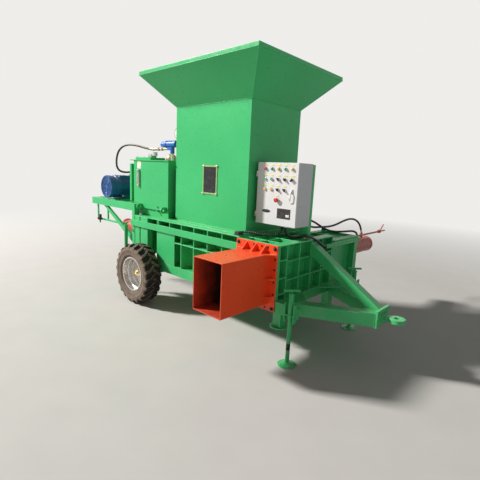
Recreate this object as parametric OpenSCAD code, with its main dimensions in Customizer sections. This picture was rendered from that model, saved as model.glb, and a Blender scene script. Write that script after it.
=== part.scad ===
// Towed forage baler: a square feed tower with a flared hopper drops the crop into
// a press chamber, a ram packs it forwards into a cross channel, and a side ram
// pushes the bale out of a chute.
// x runs forwards to the tow eye, y towards the side cylinder and z up.
// Before the last shift, x = 0 is the front of the rear frame, y = 0 is the middle
// plane of the machine and z = 0 is the ground.

/* [Wheels] */
// Diameter of a tyre over its lugs
tyre_d = 772; // [740:2:790]
// Width of a tyre
tyre_w = 240; // [210:5:260]
// Diameter of the rim seat
rim_d = 426; // [400:2:440]
// Width of the rim between its flanges
rim_w = 172; // [160:2:190]
// Gap between a tyre and the side of the frame
tyre_gap = 36; // [20:2:60]
// Distance of the axle ahead of the front of the rear frame
axle_x = 25; // [-20:5:60]
// Thickness of the square axle beam
axle_beam = 90; // [80:5:100]
// Height of a tyre lug
lug_h = 24; // [16:1:30]
// Number of lugs on each half of a tyre
lug_count = 18; // [12:1:20]

/* [Press chamber] */
// Inner width of the chamber, which is the length of a bale
chamber_w = 860; // [800:10:900]
// Inner height of the chamber and of the bale channel
chamber_h = 472; // [440:2:480]
// Height of the chamber floor above the ground
floor_z = 526; // [516:2:560]
// Thickness of the chamber plates
plate_t = 12; // [8:1:16]
// Thickness of a rib
rib_t = 12; // [8:1:16]
// Reach of the side ribs from the chamber wall
side_rib = 138; // [130:2:160]
// Distance between upright side ribs
rib_pitch = 230; // [200:5:240]
// Height of the level side rib above the ground
middle_rib_z = 850; // [800:5:900]
// Height of the deck above the ground
deck_z = 1104; // [1096:2:1130]
// Rear end of the chamber walls
chamber_x = 215; // [200:5:240]
// Length of the closed side plate at the rear of the chamber
side_plate_l = 366; // [300:2:380]
// Height of a sill
sill_h = 110; // [90:5:120]
// Width of a sill
sill_w = 110; // [90:5:120]
// Depth of the floor frame below the chamber floor
floor_drop = 76; // [70:2:90]
// Height of the band along each side
band_h = 78; // [60:2:90]
// Thickness of the band along each side
band_t = 24; // [12:2:30]
// Height of the underside of the band above the ground
band_z = 960; // [940:5:980]

/* [Rear frame] */
// Rear end of the rear frame behind its front
rear_frame_l = 373; // [360:1:400]
// Thickness of the head plate that carries the main cylinder
head_t = 24; // [20:2:30]
// Depth of the front column
front_column = 163; // [150:1:170]
// Depth of the middle column
middle_column = 111; // [100:1:120]
// Depth of the rear column
rear_column = 61; // [50:1:62]
// Width of a column across the machine
column_w = 80; // [70:5:90]
// Gap between the rear and the middle column
column_gap = 14; // [10:1:20]

/* [Tower and hopper] */
// Rear face of the tower
tower_x = 400; // [390:5:420]
// Outer length of the tower
tower_l = 1200; // [1150:10:1210]
// Thickness of the tower sheet
tower_t = 8; // [5:1:10]
// Height of the top of the tower above the ground
tower_top = 2465; // [2300:5:2600]
// Width of the flange at the foot of the tower
tower_flange = 70; // [50:5:80]
// Thickness of the flange at the foot of the tower
flange_t = 12; // [8:1:14]
// Reach of the flare past the tower, fore and aft
flare_x = 325; // [250:5:360]
// Reach of the flare past the tower, on each side
flare_y = 310; // [250:5:340]
// Rise of the flare
flare_h = 345; // [300:5:400]
// Height of the upright rim on the flare
rim_h = 40; // [30:2:60]
// Thickness of the hopper sheet
hopper_t = 8; // [6:1:10]
// Rear edge of the sight window from the rear face of the tower
window_x = 505; // [450:5:560]
// Length of the sight window's frame
window_l = 238; // [200:2:260]
// Height of the sight window's frame
window_h = 324; // [280:2:340]
// Lower edge of the sight window above the ground
window_z = 1478; // [1400:2:1560]
// Width of the border of the sight window
window_border = 18; // [12:1:24]

/* [Bale channel] */
// Inner width of the bale channel, which is the thickness of a bale
channel_w = 340; // [310:5:360]
// Distance of the channel ahead of the tower
channel_lead = 136; // [130:2:150]
// Distance from the channel to the back of its block
block_back = 88; // [80:2:100]
// Reach of the ribs on the front of the block
front_rib = 82; // [70:2:90]
// Thickness of the block's end plate
end_plate_t = 16; // [12:1:20]
// Start of the side ram's housing past the middle of the machine
housing_y = 442; // [442:2:470]
// Length of the side ram's housing
housing_l = 590; // [560:5:620]
// Thickness of the plate that carries the side cylinder
cylinder_plate_t = 24; // [20:2:30]
// Length of the chute
chute_l = 629; // [500:5:700]
// Thickness of the chute's walls
chute_t = 8; // [6:1:10]
// Thickness of the chute's flange
chute_flange_t = 16; // [12:1:20]

/* [Rams and cylinders] */
// Outer diameter of both cylinders
cylinder_d = 208; // [190:2:216]
// Diameter of both piston rods
rod_d = 110; // [90:2:120]
// Length of the main ram's body
main_ram_l = 180; // [160:5:190]
// Gap between the main ram's face and the tower when it is drawn back
main_ram_back = 6; // [5:1:20]
// Clearance between a ram and the walls around it
ram_gap = 6; // [5:0.5:10]
// Thickness of a ram's plates
ram_t = 20; // [15:1:25]
// Rear end of the main cylinder behind the front of the rear frame
main_cylinder_back = 1488; // [1440:2:1500]
// Length of the side ram's body
side_ram_l = 300; // [280:5:300]
// End of the side cylinder past its plate
side_cylinder_l = 840; // [800:10:900]
// Height of the side cylinder's axis above the ground
side_cylinder_z = 800; // [790:2:820]
// Height of the indicator rod above the side cylinder's axis
indicator_rise = 156; // [150:1:165]
// Distance of the indicator rod ahead of the side cylinder's axis
indicator_ahead = 60; // [50:2:70]
// Diameter of the indicator rod
indicator_d = 26; // [20:1:30]
// Reach of the indicator rod past the end of the side cylinder
indicator_over = 282; // [200:2:300]
// Length of the fork at the end of the indicator rod
fork_l = 221; // [180:1:230]

/* [Platform, motor and tank] */
// Rear end of the platform behind the front of the rear frame
platform_back = 1540; // [1530:5:1600]
// Height of the top of the platform above the ground
platform_z = 1254; // [1240:2:1270]
// Height of a platform beam
platform_beam_h = 100; // [80:5:110]
// Width of a platform beam
platform_beam_w = 80; // [60:5:90]
// Distance of the motor's fan cowl from the middle plane
motor_y = 604; // [590:2:610]
// Distance of the motor behind the front of the rear frame
motor_back = 1036; // [1000:2:1060]
// Diameter of the motor's fan cowl
motor_d = 330; // [300:2:340]
// Length of the motor with its fan cowl
motor_l = 600; // [560:5:640]
// Height of the motor's shaft above the ground
motor_z = 1442; // [1432:2:1460]
// Gap between the oil tank and the tower
tank_gap = 82; // [70:2:100]
// Length of the oil tank
tank_l = 856; // [800:2:870]
// Width of the oil tank
tank_w = 600; // [560:5:620]
// Height of the oil tank
tank_h = 640; // [600:5:680]
// Distance of the tank's near face from the middle plane
tank_y = 486; // [470:2:490]
// Height of the base under the oil tank
tank_base_h = 100; // [80:5:110]

/* [Control cabinet] */
// Width of the cabinet
cabinet_w = 500; // [480:5:505]
// Height of the cabinet
cabinet_h = 620; // [600:5:640]
// Depth of the cabinet with its door
cabinet_d = 250; // [220:5:260]
// Gap between the tower and the cabinet
cabinet_gap = 42; // [42:1:60]
// Distance of the door's face from the middle plane
cabinet_y = 331; // [320:1:360]
// Height of the bottom of the cabinet above the ground
cabinet_z = 1233; // [1220:1:1260]
// Thickness of the cabinet door
door_t = 20; // [16:1:24]
// Thickness of the cabinet's sheet
cabinet_t = 4; // [3:0.5:6]
// Side of the cabinet's square post
post_s = 60; // [50:2:70]

/* [Drawbar] */
// Distance of the nose plate's face ahead of the block
nose_reach = 792; // [700:2:850]
// Side of the square drawbar tubes
drawbar_s = 120; // [100:5:120]
// Height of the underside of the drawbar above the ground
drawbar_z = 419; // [405:2:430]
// Distance of a drawbar tube from the middle plane at the block
drawbar_y = 457; // [420:5:470]
// Half of the distance between the tubes' axes at the nose plate
drawbar_nose_y = 66; // [64:1:70]
// Side of the square strut above the drawbar
strut_s = 100; // [80:5:110]
// Radius of the hole in the tow eye
eye_r = 27; // [20:1:30]
// Distance of the tow eye's axis ahead of the nose plate
eye_reach = 126; // [100:1:140]
// Thickness of the ring of the tow eye
eye_ring = 43; // [35:1:50]
// Height of the middle of the tow eye above the ground
eye_z = 496; // [480:1:510]

/* [Legs and jacks] */
// Height of the foot of a fixed leg above the ground
leg_z = 254; // [200:2:280]
// Side of a fixed leg
leg_s = 94; // [85:1:100]
// Distance of a front jack's axis ahead of the block
front_jack_reach = 190; // [170:5:220]
// Distance of a front jack's axis from the middle plane
front_jack_y = 620; // [600:5:640]
// Distance of a rear jack's axis behind the rear frame
rear_jack_reach = 110; // [100:5:130]
// Distance of a rear jack's axis from the middle plane
rear_jack_y = 610; // [600:2:630]
// Diameter of a jack's inner leg
jack_leg_d = 38; // [34:1:44]
// Thickness of a jack's outer tube
jack_wall = 5; // [4:1:7]
// Diameter of a jack's foot
jack_foot_d = 178; // [160:2:200]
// Height of the top of a front jack's tube above the ground
front_jack_top = 680; // [650:2:700]
// Length of a front jack's tube
front_jack_tube = 240; // [230:5:260]
// Height of the top of a rear jack's tube above the ground
rear_jack_top = 930; // [900:5:960]
// Length of a rear jack's tube
rear_jack_tube = 450; // [440:5:480]
// Travel of a front jack
front_jack_travel = 150; // [100:5:150]
// Travel of a rear jack
rear_jack_travel = 300; // [200:5:320]

/* [Hidden] */
$fn = 48;

green = [0.16, 0.62, 0.34];
red = [0.86, 0.26, 0.14];
oxide = [0.72, 0.25, 0.20];
blue = [0.08, 0.26, 0.55];
steel = [0.70, 0.71, 0.72];
black = [0.06, 0.06, 0.06];
fit = 0.3;

// Chamber and its side structure
wall_y = chamber_w / 2;
rib_y = wall_y + plate_t + side_rib;
band_y = rib_y + band_t;
roof_z = floor_z + chamber_h;
deck_low = deck_z - plate_t;
sill_z = floor_z - floor_drop;
sill_top = sill_z + sill_h;

// Tower, block and bale channel
tower_front = tower_x + tower_l;
tower_y = wall_y;
tower_z = deck_z;
channel_x = tower_front + channel_lead;
channel_front = channel_x + channel_w;
channel_mid = channel_x + channel_w / 2;
block_x = channel_x - block_back;
block_front_x = channel_front + plate_t + front_rib;
block_top_z = deck_low;
end_plate_y = rib_y + end_plate_t;
housing_end = housing_y + housing_l;
chute_mouth_y = end_plate_y + chute_flange_t + chute_l;
hopper_top = tower_top + flare_h + rim_h;

// Rear frame: [start, depth] of each column along x
column_rear = -rear_frame_l;
columns = [[column_rear, rear_column],
           [column_rear + rear_column + column_gap, middle_column],
           [-front_column + 2, front_column]];
head_x = columns[2][0] - head_t;

// Wheels
axle_z = tyre_d / 2;
wheel_y = rib_y + tyre_gap + tyre_w / 2;

// Rams and cylinders
main_face = tower_x - main_ram_back;
main_gland_x = 180;
main_axis_z = floor_z + chamber_h / 2;
side_face = housing_y + ram_gap;
side_cylinder_end = housing_end + side_cylinder_l;
indicator_x = channel_mid + indicator_ahead;
indicator_z = side_cylinder_z + indicator_rise;
indicator_end = side_cylinder_end + indicator_over;

// Oil tank
tank_back = tank_l + tank_gap - tower_x;
tank_z = deck_z + tank_base_h;
tank_top = tank_z + tank_h;

// Drawbar
nose_x = block_front_x + nose_reach;
nose_t = 25;
gusset_z = drawbar_z + drawbar_s;
gusset_t = 10;
eye_x = nose_x + eye_reach;
eye_out = eye_r + eye_ring;

// Jacks: [name, x, y, tube top, tube length, travel]
front_jack_x = block_front_x + front_jack_reach;
rear_jack_x = -rear_frame_l - rear_jack_reach;
jacks = [["front", front_jack_x, front_jack_y, front_jack_top, front_jack_tube, front_jack_travel],
         ["rear", rear_jack_x, rear_jack_y, rear_jack_top, rear_jack_tube, rear_jack_travel]];

// Middle of the whole machine in plan, which becomes the origin
mid_x = (eye_x + eye_out - platform_back) / 2;
mid_y = (indicator_end + fork_l - chute_mouth_y) / 2;

// Box between two opposite corners
module box(lo, hi) {
    translate(lo) cube([hi[0] - lo[0], hi[1] - lo[1], hi[2] - lo[2]]);
}

// Round bar along y between two places
module bar_y(x, z, d, from, to) {
    translate([x, from, z]) rotate([-90, 0, 0]) cylinder(d = d, h = to - from);
}

// Round bar along x between two places
module bar_x(y, z, d, from, to) {
    translate([from, y, z]) rotate([0, 90, 0]) cylinder(d = d, h = to - from);
}

// The near side as drawn, and the far side as its mirror image
module both_sides() {
    children();
    mirror([0, 1, 0]) children();
}

// Side of the press chamber on the near side: wall, ribs, closed plate and band
module chamber_side() {
    color(green) {
        box([chamber_x, -wall_y - plate_t, floor_z], [block_x, -wall_y, deck_low]);
        for (x = [block_x - 1.5 * rib_t : -rib_pitch : chamber_x])
            box([x - rib_t / 2, -rib_y, sill_top], [x + rib_t / 2, -wall_y - plate_t, deck_low]);
        box([chamber_x, -rib_y, sill_top], [chamber_x + rib_t, -wall_y - plate_t, deck_low]);
        box([chamber_x, -rib_y, middle_rib_z], [block_x, -wall_y - plate_t, middle_rib_z + rib_t]);
        box([chamber_x, -rib_y, sill_top],
            [chamber_x + side_plate_l, -rib_y + rib_t, band_z + band_h]);
    }
}
module chamber_side_near() { chamber_side(); }
module chamber_side_far() { mirror([0, 1, 0]) chamber_side(); }

// Band along each side, outside the ribs and the columns
module side_bands() {
    color(green) both_sides()
        box([-rear_frame_l, -band_y, band_z], [block_x, -rib_y, band_z + band_h]);
}

// Floor of the chamber with its cross ribs
module chamber_floor() {
    color(green) {
        box([chamber_x, -wall_y - plate_t, floor_z - plate_t], [block_x, wall_y + plate_t, floor_z]);
        for (x = [chamber_x : 2 * rib_pitch : block_x - rib_t])
            box([x, -rib_y + sill_w, sill_z], [x + 2 * rib_t, rib_y - sill_w, floor_z - plate_t]);
    }
}

// Deck round the tower's opening
module chamber_deck() {
    color(green) {
        difference() {
            box([column_rear + rear_column, -rib_y, deck_low], [block_x, rib_y, deck_z]);
            box([tower_x + tower_t, -tower_y + tower_t, deck_low - 1],
                [tower_front - tower_t, tower_y - tower_t, deck_z + 1]);
        }
        box([chamber_x, -wall_y, roof_z], [tower_x, wall_y, roof_z + plate_t]);
        box([tower_x - plate_t, -wall_y, roof_z + plate_t], [tower_x, wall_y, deck_low]);
        box([block_x - 78, -rib_y + 10, deck_z], [block_x - 22, -rib_y + 66, deck_z + 40]);
    }
}

// Sills under both sides, with the pads and gussets that carry the axle
module sills() {
    color(green) both_sides() {
        box([-rear_frame_l, -rib_y, sill_z], [block_x, -rib_y + sill_w, sill_top]);
        box([axle_x - 75, -rib_y, axle_z + axle_beam / 2], [axle_x + 75, -rib_y + sill_w, sill_z]);
        translate([0, -rib_y + sill_w, 0]) rotate([90, 0, 0]) linear_extrude(rib_t)
            polygon([[axle_x + axle_beam / 2, sill_z], [axle_x + axle_beam / 2, axle_z - 20],
                     [axle_x + 110, axle_z - 20], [axle_x + 330, sill_z]]);
    }
}

// Columns of the rear frame; the rear ones stand up to the platform
module rear_columns() {
    color(green) both_sides() for (c = columns)
        box([c[0], -rib_y, sill_top],
            [c[0] + c[1], -rib_y + column_w, c == columns[0] ? platform_z : deck_low]);
}

// Head plate between the columns, with the seat of the main cylinder
module head_plate() {
    color(green) difference() {
        box([head_x, -rib_y + 20, sill_top], [head_x + head_t, rib_y - 20, deck_low]);
        bar_x(0, main_axis_z, cylinder_d + 2 * fit, head_x - 1, head_x + head_t + 1);
    }
}

// Tower: a square shaft of sheet with a flange at its foot
module tower() {
    color(green) difference() {
        union() {
            box([tower_x, -tower_y, tower_z], [tower_front, tower_y, tower_top]);
            box([tower_x - tower_flange, -tower_y - tower_flange, tower_z],
                [tower_front + tower_flange / 2, tower_y + tower_flange, tower_z + flange_t]);
        }
        box([tower_x + tower_t, -tower_y + tower_t, tower_z - 1],
            [tower_front - tower_t, tower_y - tower_t, tower_top + 1]);
        box([tower_x + window_x + window_border, -tower_y - 1, window_z + window_border],
            [tower_x + window_x + window_l - window_border, -tower_y + tower_t + 1,
             window_z + window_h - window_border]);
    }
}

// Flare from the tower's size up to the rim's size, shrunk all round by t
module flare(t, below) {
    hull() {
        box([tower_x + t, -tower_y + t, tower_top - below],
            [tower_front - t, tower_y - t, tower_top + 0.01]);
        box([tower_x - flare_x + t, -tower_y - flare_y + t, tower_top + flare_h - 0.01],
            [tower_front + flare_x - t, tower_y + flare_y - t, tower_top + flare_h]);
    }
}

// Hopper: the flare and its upright rim
module hopper() {
    color(green) difference() {
        union() {
            flare(0, 0);
            box([tower_x - flare_x, -tower_y - flare_y, tower_top + flare_h - 0.01],
                [tower_front + flare_x, tower_y + flare_y, hopper_top]);
        }
        flare(hopper_t, 2);
        box([tower_x - flare_x + hopper_t, -tower_y - flare_y + hopper_t, tower_top + flare_h - 0.02],
            [tower_front + flare_x - hopper_t, tower_y + flare_y - hopper_t, hopper_top + 1]);
    }
}

// Border of the sight window, seated on the tower's near face
module window_frame() {
    color([0.75, 0.6, 0.3]) difference() {
        box([tower_x + window_x, -tower_y - 6, window_z],
            [tower_x + window_x + window_l, -tower_y, window_z + window_h]);
        box([tower_x + window_x + window_border, -tower_y - 7, window_z + window_border],
            [tower_x + window_x + window_l - window_border, -tower_y + 1,
             window_z + window_h - window_border]);
    }
}

// Dark glass of the sight window
module sight_glass() {
    color(black)
        box([tower_x + window_x + window_border + fit, -tower_y - 3, window_z + window_border + fit],
            [tower_x + window_x + window_l - window_border - fit, -tower_y + 5,
             window_z + window_h - window_border - fit]);
}

// Places of the upright ribs on the front of the block, across the machine
front_rib_y = [-rib_y, -458, -246, -28, 178, 386];

// Heights of the level ribs: in the narrow bay beside the chute, and across the rest
near_level_z = [607, 762, 938];
front_level_z = [729, 916];

// Front wall of the block with its grid of ribs and its lower rail
module block_front() {
    color(green) {
        box([channel_front, -rib_y, floor_z - plate_t], [channel_front + plate_t, housing_y, block_top_z]);
        for (y = front_rib_y)
            box([channel_front + plate_t, y, sill_z + 102], [block_front_x, y + rib_t, block_top_z]);
        for (z = near_level_z)
            box([channel_front + plate_t, front_rib_y[0], z],
                [block_front_x, front_rib_y[1], z + rib_t]);
        for (z = front_level_z)
            box([channel_front + plate_t, front_rib_y[1], z],
                [block_front_x, front_rib_y[5], z + rib_t]);
        box([channel_front + plate_t, -rib_y, sill_z],
            [block_front_x, front_rib_y[5] + rib_t, sill_z + 102]);
        box([channel_front + plate_t, -rib_y, block_top_z - rib_t],
            [block_front_x, front_rib_y[5] + rib_t, block_top_z]);
    }
}

// Posts behind the channel on each side of the chamber's mouth, and the end plate
// round the way out to the chute
module block_back() {
    color(green) {
        box([block_x, -rib_y, floor_z], [channel_x, -wall_y, roof_z]);
        box([block_x, wall_y, floor_z], [channel_x - plate_t, rib_y, roof_z]);
        box([channel_x - plate_t, wall_y, floor_z], [channel_x, housing_y, roof_z]);
        difference() {
            box([block_x, -end_plate_y, sill_z], [block_front_x - 6, -rib_y, block_top_z]);
            box([channel_x, -end_plate_y - 1, floor_z], [channel_front, -rib_y + 1, roof_z]);
        }
    }
}

// Roof of the channel with its open grid of ribs
module block_top() {
    color(green) {
        box([block_x, -rib_y, roof_z], [channel_front, housing_y, roof_z + plate_t]);
        for (x = [block_x, channel_x - rib_t, channel_mid, channel_front - rib_t])
            box([x, -rib_y, roof_z + plate_t], [x + rib_t, housing_y, block_top_z]);
        for (y = front_rib_y)
            box([block_x, y, roof_z + plate_t], [channel_front, y + rib_t, block_top_z]);
    }
}

// Floor of the channel with its ribs
module block_floor() {
    color(green) {
        box([block_x, -rib_y, floor_z - plate_t], [channel_front, housing_y, floor_z]);
        for (x = [block_x, channel_mid - rib_t, channel_front - rib_t])
            box([x, -rib_y, sill_z], [x + rib_t, housing_y, floor_z - plate_t]);
        for (y = [-rib_y, -rib_t / 2, housing_y - rib_t])
            box([block_x, y, sill_z], [channel_front, y + rib_t, floor_z - plate_t]);
    }
}

// Housing of the side ram: four walls, frame tubes, the cylinder's plate, the duct for
// the cables along its front and the clamp for a hose
frame_tubes = [[floor_z - 66, 80], [roof_z - 40, 76]];
housing_top = roof_z + 36;
housing_post = 82;
module side_housing() {
    color(green) difference() {
        union() {
            box([channel_x - plate_t, housing_y, floor_z - plate_t],
                [channel_front + plate_t, housing_end, roof_z + plate_t]);
            for (t = frame_tubes) {
                box([channel_front + plate_t, housing_y, t[0]], [block_front_x, housing_end, t[0] + t[1]]);
                box([block_x, rib_y, t[0]], [channel_x - plate_t, housing_end, t[0] + t[1]]);
            }
            for (x = [[block_x, channel_x - plate_t], [channel_front + plate_t, block_front_x]])
                box([x[0], housing_end - housing_post, floor_z - 66], [x[1], housing_end, housing_top]);
            box([block_x, housing_end - cylinder_plate_t, floor_z - 66],
                [block_front_x, housing_end, housing_top]);
            box([block_front_x, 223, 973], [block_front_x + 28, housing_end, 1017]);
            box([block_x + 12, housing_end - cylinder_plate_t, housing_top],
                [block_x + 72, housing_end, housing_top + 30]);
        }
        box([channel_x, housing_y - 1, floor_z], [channel_front, housing_end - cylinder_plate_t, roof_z]);
        bar_y(channel_mid, side_cylinder_z, cylinder_d + 2 * fit, housing_end - 50, housing_end + 1);
        bar_y(indicator_x, indicator_z, indicator_d + 12, housing_end - 50, housing_end + 1);
    }
}

// Chute: an open duct with a bolted flange and gussets
module chute() {
    flange_x0 = block_x;
    flange_x1 = block_front_x - 6;
    front_y = -end_plate_y - chute_flange_t;
    color(red) {
        difference() {
            union() {
                box([channel_x - chute_t, -chute_mouth_y, floor_z - chute_t],
                    [channel_front + chute_t, front_y + 1, roof_z + chute_t]);
                box([flange_x0, front_y, sill_z], [flange_x1, -end_plate_y, block_top_z]);
            }
            box([channel_x, -chute_mouth_y - 1, floor_z], [channel_front, -end_plate_y + 1, roof_z]);
        }
        for (x = [channel_x + 50, channel_mid, channel_front - 50])
            translate([x + rib_t / 2, front_y, roof_z + chute_t]) rotate([90, 0, -90])
                linear_extrude(rib_t) polygon([[0, 0], [80, 0], [0, 76]]);
        for (z = [floor_z + 60, main_axis_z, roof_z + chute_t - rib_t]) {
            translate([channel_front + chute_t, front_y, z])
                linear_extrude(rib_t) polygon([[0, 0], [66, 0], [0, -80]]);
            translate([channel_x - chute_t, front_y, z])
                linear_extrude(rib_t) polygon([[0, 0], [-66, 0], [0, -80]]);
        }
    }
}

// Hydraulic barrel along x with its flange, gland and rear cap
module main_cylinder() {
    rear = -main_cylinder_back;
    color(oxide) difference() {
        union() {
            bar_x(0, main_axis_z, cylinder_d, rear + 40, main_gland_x - 30);
            bar_x(0, main_axis_z, cylinder_d + 24, rear, rear + 40);
            bar_x(0, main_axis_z, cylinder_d + 120, head_x - 30, head_x);
            bar_x(0, main_axis_z, cylinder_d - 20, main_gland_x - 30, main_gland_x);
        }
        bar_x(0, main_axis_z, rod_d + 2 * fit, rear + 60, main_gland_x + 1);
    }
}

// Main ram: the body that packs the crop, open at the back, and its rod
module main_ram() {
    back = main_face - main_ram_l;
    color(oxide) difference() {
        box([back, -wall_y + ram_gap, floor_z + ram_gap], [main_face, wall_y - ram_gap, roof_z - ram_gap]);
        box([back - 1, -wall_y + ram_gap + ram_t, floor_z + ram_gap + ram_t],
            [main_face - ram_t, wall_y - ram_gap - ram_t, roof_z - ram_gap - ram_t]);
    }
    color(oxide) bar_x(0, main_axis_z, rod_d + 80, main_face - ram_t - 40, main_face - ram_t);
    color(steel) bar_x(0, main_axis_z, rod_d, -main_cylinder_back + 80, main_face - ram_t - 40);
}

// Ports of the side cylinder: [place along it, lean towards the front, reach]
side_ports = [[housing_end + 260, 38, 145], [side_cylinder_end - 172, 0, 165]];

// Hydraulic barrel along y through the housing's plate, with its ports
module side_cylinder() {
    gland_y = side_face + side_ram_l + 22;
    color(oxide) difference() {
        union() {
            bar_y(channel_mid, side_cylinder_z, cylinder_d - 20, gland_y, gland_y + 30);
            bar_y(channel_mid, side_cylinder_z, cylinder_d, gland_y + 30, side_cylinder_end - 40);
            bar_y(channel_mid, side_cylinder_z, cylinder_d + 10, side_cylinder_end - 40, side_cylinder_end);
            bar_y(channel_mid, side_cylinder_z, cylinder_d + 40, housing_end, housing_end + 30);
            for (p = side_ports) translate([channel_mid, p[0], side_cylinder_z]) rotate([0, p[1], 0])
                cylinder(d = 40, h = p[2]);
        }
        bar_y(channel_mid, side_cylinder_z, rod_d + 2 * fit, gland_y - 1, side_cylinder_end - 60);
    }
}

// Side ram: the body that pushes the bale out, and its rod
module side_ram() {
    back = side_face + side_ram_l;
    color(oxide) box([channel_x + ram_gap, side_face, floor_z + ram_gap],
                     [channel_front - ram_gap, back, roof_z - ram_gap]);
    color(steel) bar_y(channel_mid, side_cylinder_z, rod_d, back, side_cylinder_end - 80);
}

// Indicator rod that rides on the side ram above its cylinder, with a knob and a fork
module indicator_rod() {
    color(oxide) {
        bar_y(indicator_x, indicator_z, indicator_d, side_face + side_ram_l, indicator_end);
        bar_y(indicator_x, indicator_z, 50, indicator_end, indicator_end + 46);
        bar_y(indicator_x, indicator_z, 22, indicator_end + 46, indicator_end + fork_l);
        translate([indicator_x, indicator_end + 40, indicator_z]) rotate([-52, 0, 0])
            cylinder(d = 16, h = 150);
    }
}

// Two long beams of the platform
module platform_beams() {
    color(green) both_sides()
        box([-platform_back, -rib_y, platform_z - platform_beam_h],
            [column_rear, -rib_y + platform_beam_w, platform_z]);
}

// Bars across the platform, clear of each other
platform_bar_x = [-platform_back, -motor_back - 220, -motor_back + 160, -tank_back - 100];
module platform_crossbars() {
    color(green) for (x = platform_bar_x)
        box([x, -rib_y + platform_beam_w, platform_z - 80], [x + 60, rib_y - platform_beam_w, platform_z]);
}

// Slanted braces from the rear columns to the platform
module platform_braces() {
    foot_z = 690;
    head = 1128;
    width = 80;
    color(green) both_sides()
        translate([0, -rib_y + 60, 0]) rotate([90, 0, 0]) linear_extrude(40)
            polygon([[-rear_frame_l, foot_z], [-rear_frame_l, foot_z + width],
                     [-head, platform_z - platform_beam_h], [-head - width, platform_z - platform_beam_h]]);
}

// Plate that carries the motor
module motor_plate() {
    color(green) box([-motor_back - 200, -rib_y, platform_z], [-motor_back + 200, 300, platform_z + 10]);
}

// Rail under the platform on its two hangers, with the limit switch
module limit_rail() {
    near = -rib_y + 62;
    far = -rib_y + 80;
    rear = -platform_back + 40;
    rail_l = 652;
    rail_z = 905;
    rail_h = 28;
    switch_x = rear + 80;
    color(green) {
        box([rear, near, rail_z], [rear + rail_l, far, rail_z + rail_h]);
        for (x = [rear, rear + 310])
            box([x, near, rail_z + rail_h], [x + 30, far, platform_z - platform_beam_h]);
    }
    color(black) {
        box([switch_x, near - 30, rail_z - 5], [switch_x + 60, near, rail_z + 85]);
        bar_y(switch_x + 30, rail_z + 20, 26, near - 44, near - 30);
    }
}

// Electric motor: fan cowl with its grille, ribbed body, flange, feet and terminal box
module motor() {
    r = motor_d / 2;
    body_d = motor_d - 40;
    cowl_l = 170;
    body_l = motor_l - 90;
    plate_top = platform_z + 10;
    near = -motor_y;
    color(blue) {
        translate([-motor_back, near, motor_z]) rotate([-90, 0, 0]) {
            difference() {
                rotate_extrude()
                    polygon([[0, 8], [r - 22, 8], [r - 18, 0], [r - 8, 0], [r, 10], [r, 50], [r - 5, 55],
                             [r - 5, 112], [r, 116], [r, 126], [r - 5, 130], [r - 5, cowl_l], [0, cowl_l]]);
                for (q = [34 : 26 : r - 40]) rotate_extrude() translate([q, 0]) square([13, 17]);
            }
            for (i = [0 : 7]) rotate(i * 45) box([26, -4, 8], [r - 24, 4, 18]);
            translate([0, 0, cowl_l - 2]) cylinder(d = body_d, h = body_l - cowl_l + 2);
            for (i = [0 : 23]) rotate(i * 15 + 7.5)
                box([body_d / 2 - 4, -2.5, cowl_l - 2], [r - 8, 2.5, body_l + 2]);
            translate([0, 0, body_l]) cylinder(d = motor_d, h = 30);
        }
        box([-motor_back - 130, near + 180, plate_top], [-motor_back + 130, near + body_l - 30, plate_top + 40]);
        box([-motor_back - 100, near + 180, plate_top + 40],
            [-motor_back + 100, near + body_l - 30, motor_z - 80]);
        box([-motor_back - 90, near + cowl_l + 5, motor_z + 100], [-motor_back + 90, near + 345, motor_z + 168]);
        translate([-motor_back, near + 400, motor_z + 140]) cylinder(d = 26, h = 50);
    }
}

// Gear pump on its bell housing
module pump() {
    near = -motor_y + motor_l - 60;
    color(steel) {
        bar_y(-motor_back, motor_z, 250, near, near + 130);
        box([-motor_back - 60, near + 130, motor_z - 75], [-motor_back + 60, near + 320, motor_z + 75]);
        translate([-motor_back, 120, motor_z + 75]) cylinder(d = 40, h = 25);
    }
}

// Base under the oil tank
module tank_base() {
    color(green) box([-tank_back + 25, -tank_y + 25, deck_z],
                     [-tank_back + tank_l - 25, -tank_y + tank_w - 25, tank_z]);
}

// Oil tank with its overhanging cover, the end plate stood off at its rear, and on its
// near side two lugs, each with a pair of studs beside it
module oil_tank() {
    rear = -tank_back;
    front = rear + tank_l;
    sheet = 12;
    lug_z = 1220;
    color(green) {
        box([rear + 70, -tank_y, tank_z], [front, -tank_y + tank_w, tank_top - sheet]);
        box([rear - 12, -tank_y - 12, tank_top - sheet], [front + 12, -tank_y + tank_w + 12, tank_top]);
        box([rear + 5, -tank_y + 40, tank_z + 90], [rear + 70, -tank_y + tank_w - 40, tank_top - 75]);
        box([rear - 35, -tank_y, tank_z + 70], [rear + 5, -tank_y + tank_w, tank_top - 55]);
        for (x = [rear + 270, front - 38]) {
            difference() {
                union() {
                    bar_x(-tank_y - 48, lug_z, 78, x - 6, x + 6);
                    box([x - 6, -tank_y - 48, lug_z - 39], [x + 6, -tank_y, lug_z + 39]);
                }
                bar_x(-tank_y - 48, lug_z, 28, x - 7, x + 7);
            }
            for (z = [lug_z - 33, lug_z + 26]) bar_y(x - 188, z, 24, -tank_y - 12, -tank_y + 25);
        }
    }
}

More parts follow.
